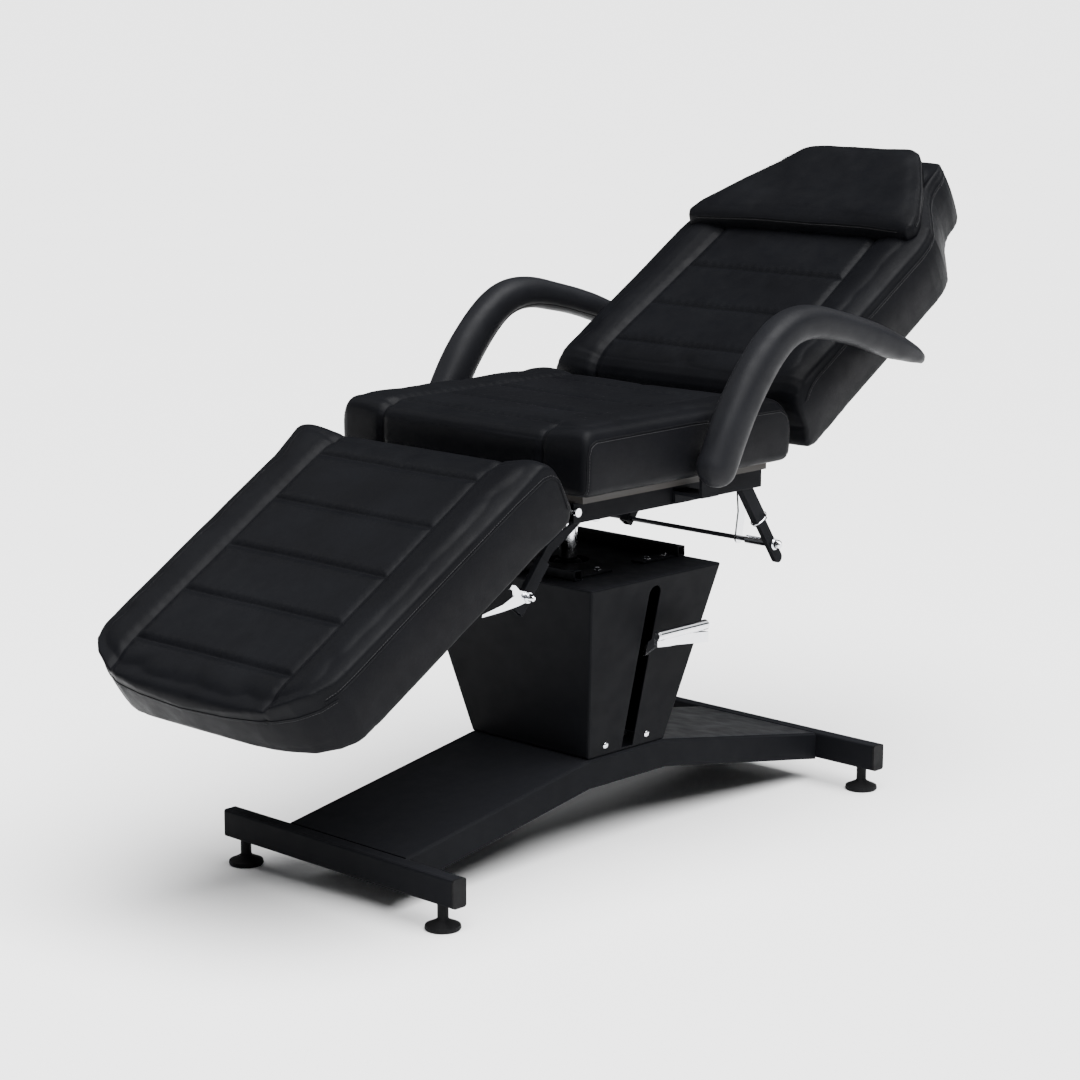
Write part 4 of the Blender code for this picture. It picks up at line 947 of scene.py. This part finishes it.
def fixing_strips():
    """Flat strips along the cover's top beside the stop rails, each bolted down."""
    gap, thickness = 0.0003, 0.0032
    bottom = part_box("pedestal_cover")[1][2] + gap
    for name, x0, x1, y0, y1, bolts in (
            ("front", 0.098, 0.134, -0.1170, -0.026, (-0.046, -0.098)),
            ("rear", 0.100, 0.130, 0.060, 0.149, (0.087, 0.133))):
        bm = bmesh.new()
        bmesh.ops.create_cube(bm, size=1.0)
        for v in bm.verts:
            v.co = Vector((x0 if v.co.x < 0 else x1, y0 if v.co.y < 0 else y1,
                           bottom if v.co.z < 0 else bottom + thickness))
        bmesh.ops.bevel(bm, geom=list(bm.edges), offset=0.0008, segments=2, affect="EDGES")
        mesh = mesh_from_bmesh(f"fixing_strip_{name}", bm, smooth=False)
        link(f"fixing_strip_{name}", mesh, "base", "black_powder_coat")
        for number, y in enumerate(bolts):
            hex_bolt(f"strip_bolt_{name}_{number}", "base",
                     ((x0 + x1) / 2, y, bottom + thickness + 0.0001), 1, 0.0050, 0.0050)


def rail_bolts():
    """Bolt heads on the underside of the seat rails."""
    for side, sign in (("near", 1), ("far", -1)):
        for number, y in enumerate((-0.180, 0.119)):
            hex_bolt(f"rail_bolt_{side}_{number}", "seat", (sign * RAIL_X, y, RAIL_UNDERSIDE), -1,
                     0.0062)


def hanger_clip():
    """Spring clip round the near hanger, partway down its sleeve."""
    run = (HANGER_TIP - HANGER_TOP).normalized()
    centre = HANGER_TOP + run * 0.074 + Vector((RAIL_X, 0, 0))
    side = Vector((0, run.z, -run.y))
    path = []
    for k in range(25):
        angle = math.radians(-150 + 300 * k / 24)
        path.append(centre + Vector((0.0125 * math.cos(angle), 0, 0))
                    + side * (0.0185 * math.sin(angle)))
    bm = bmesh.new()
    tube_bmesh(bm, path, 0.0011)
    link("hanger_clip", mesh_from_bmesh("hanger_clip", bm), "seat", "chrome")


def column_collar():
    """Rubber wiper ring round the ram at the top of the pump."""
    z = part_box("pump_body")[1][2]
    profile = [(0.0186, z + 0.0004), (0.0255, z + 0.0004), (0.0260, z + 0.0030),
               (0.0235, z + 0.0058), (0.0186, z + 0.0066)]
    bm = bmesh.new()
    loops = [[bm.verts.new((r * a, r * b, h)) for r, h in profile] for a, b in circle(1.0, 40)]
    skin(bm, loops + loops[:1], capped=False)
    link("column_wiper", mesh_from_bmesh("column_wiper", bm), "base", "black_rubber")


# ---------------------------------------------------------------- studio
def make_stage():
    """A pale floor that runs out past the horizon."""
    bm = bmesh.new()
    bmesh.ops.create_grid(bm, x_segments=8, y_segments=8, size=FLOOR_SIZE)
    mesh = mesh_from_bmesh("studio_floor", bm)
    mesh.materials.append(floor_material())
    floor = bpy.data.objects.new("studio_floor", mesh)
    bpy.context.scene.collection.objects.link(floor)


def aim_light(name, kind, location, target, power):
    data = bpy.data.lights.new(name, kind)
    data.energy = power
    obj = bpy.data.objects.new(name, data)
    obj.location = location
    direction = Vector(target) - Vector(location)
    obj.rotation_euler = direction.to_track_quat("-Z", "Y").to_euler()
    bpy.context.scene.collection.objects.link(obj)
    return data


def area_light(name, location, target, size, power):
    data = aim_light(name, "AREA", location, target, power)
    data.shape = "RECTANGLE"
    data.size, data.size_y = size


def make_lights():
    """A wide overhead sun with three weak soft boxes."""
    world = bpy.data.worlds.new("studio")
    bpy.context.scene.world = world
    world.use_nodes = True
    background = world.node_tree.nodes["Background"]
    background.inputs["Color"].default_value = (0.93, 0.96, 1.0, 1.0)
    background.inputs["Strength"].default_value = WORLD_STRENGTH
    sky = aim_light("sky", "SUN", (2.2, -0.3, 6.0), (0.0, 0.0, 0.0), SKY_STRENGTH)
    sky.angle = SKY_ANGLE
    area_light("left_box", (-2.3, -0.9, 2.6), (0.0, -0.6, 0.5), (1.6, 1.6), 14)
    area_light("front_box", (2.6, -2.4, 2.2), (0.0, 0.0, 0.6), (1.4, 1.8), 7)
    area_light("back_box", (0.6, 3.2, 2.6), (0.0, 0.2, 0.7), (2.0, 1.4), 12)


def make_camera():
    data = bpy.data.cameras.new("photo_angle")
    data.lens = 92.63
    data.sensor_width = 36.0
    camera = bpy.data.objects.new("photo_angle", data)
    camera.location = (3.395, -3.603, 1.533)
    camera.rotation_euler = (math.radians(78.6355), 0.0, math.radians(43.884))
    bpy.context.scene.collection.objects.link(camera)
    bpy.context.scene.camera = camera


dress_cad_nodes()
make_seat_cushion()
make_leg_cushion()
make_back_cushion()
make_pillow()
make_armrest("near", 1, "armrest_right")
make_armrest("far", -1, "armrest_left")
cover_screws()
fixing_strips()
rail_bolts()
hanger_clip()
column_collar()
make_stage()
make_lights()
make_camera()
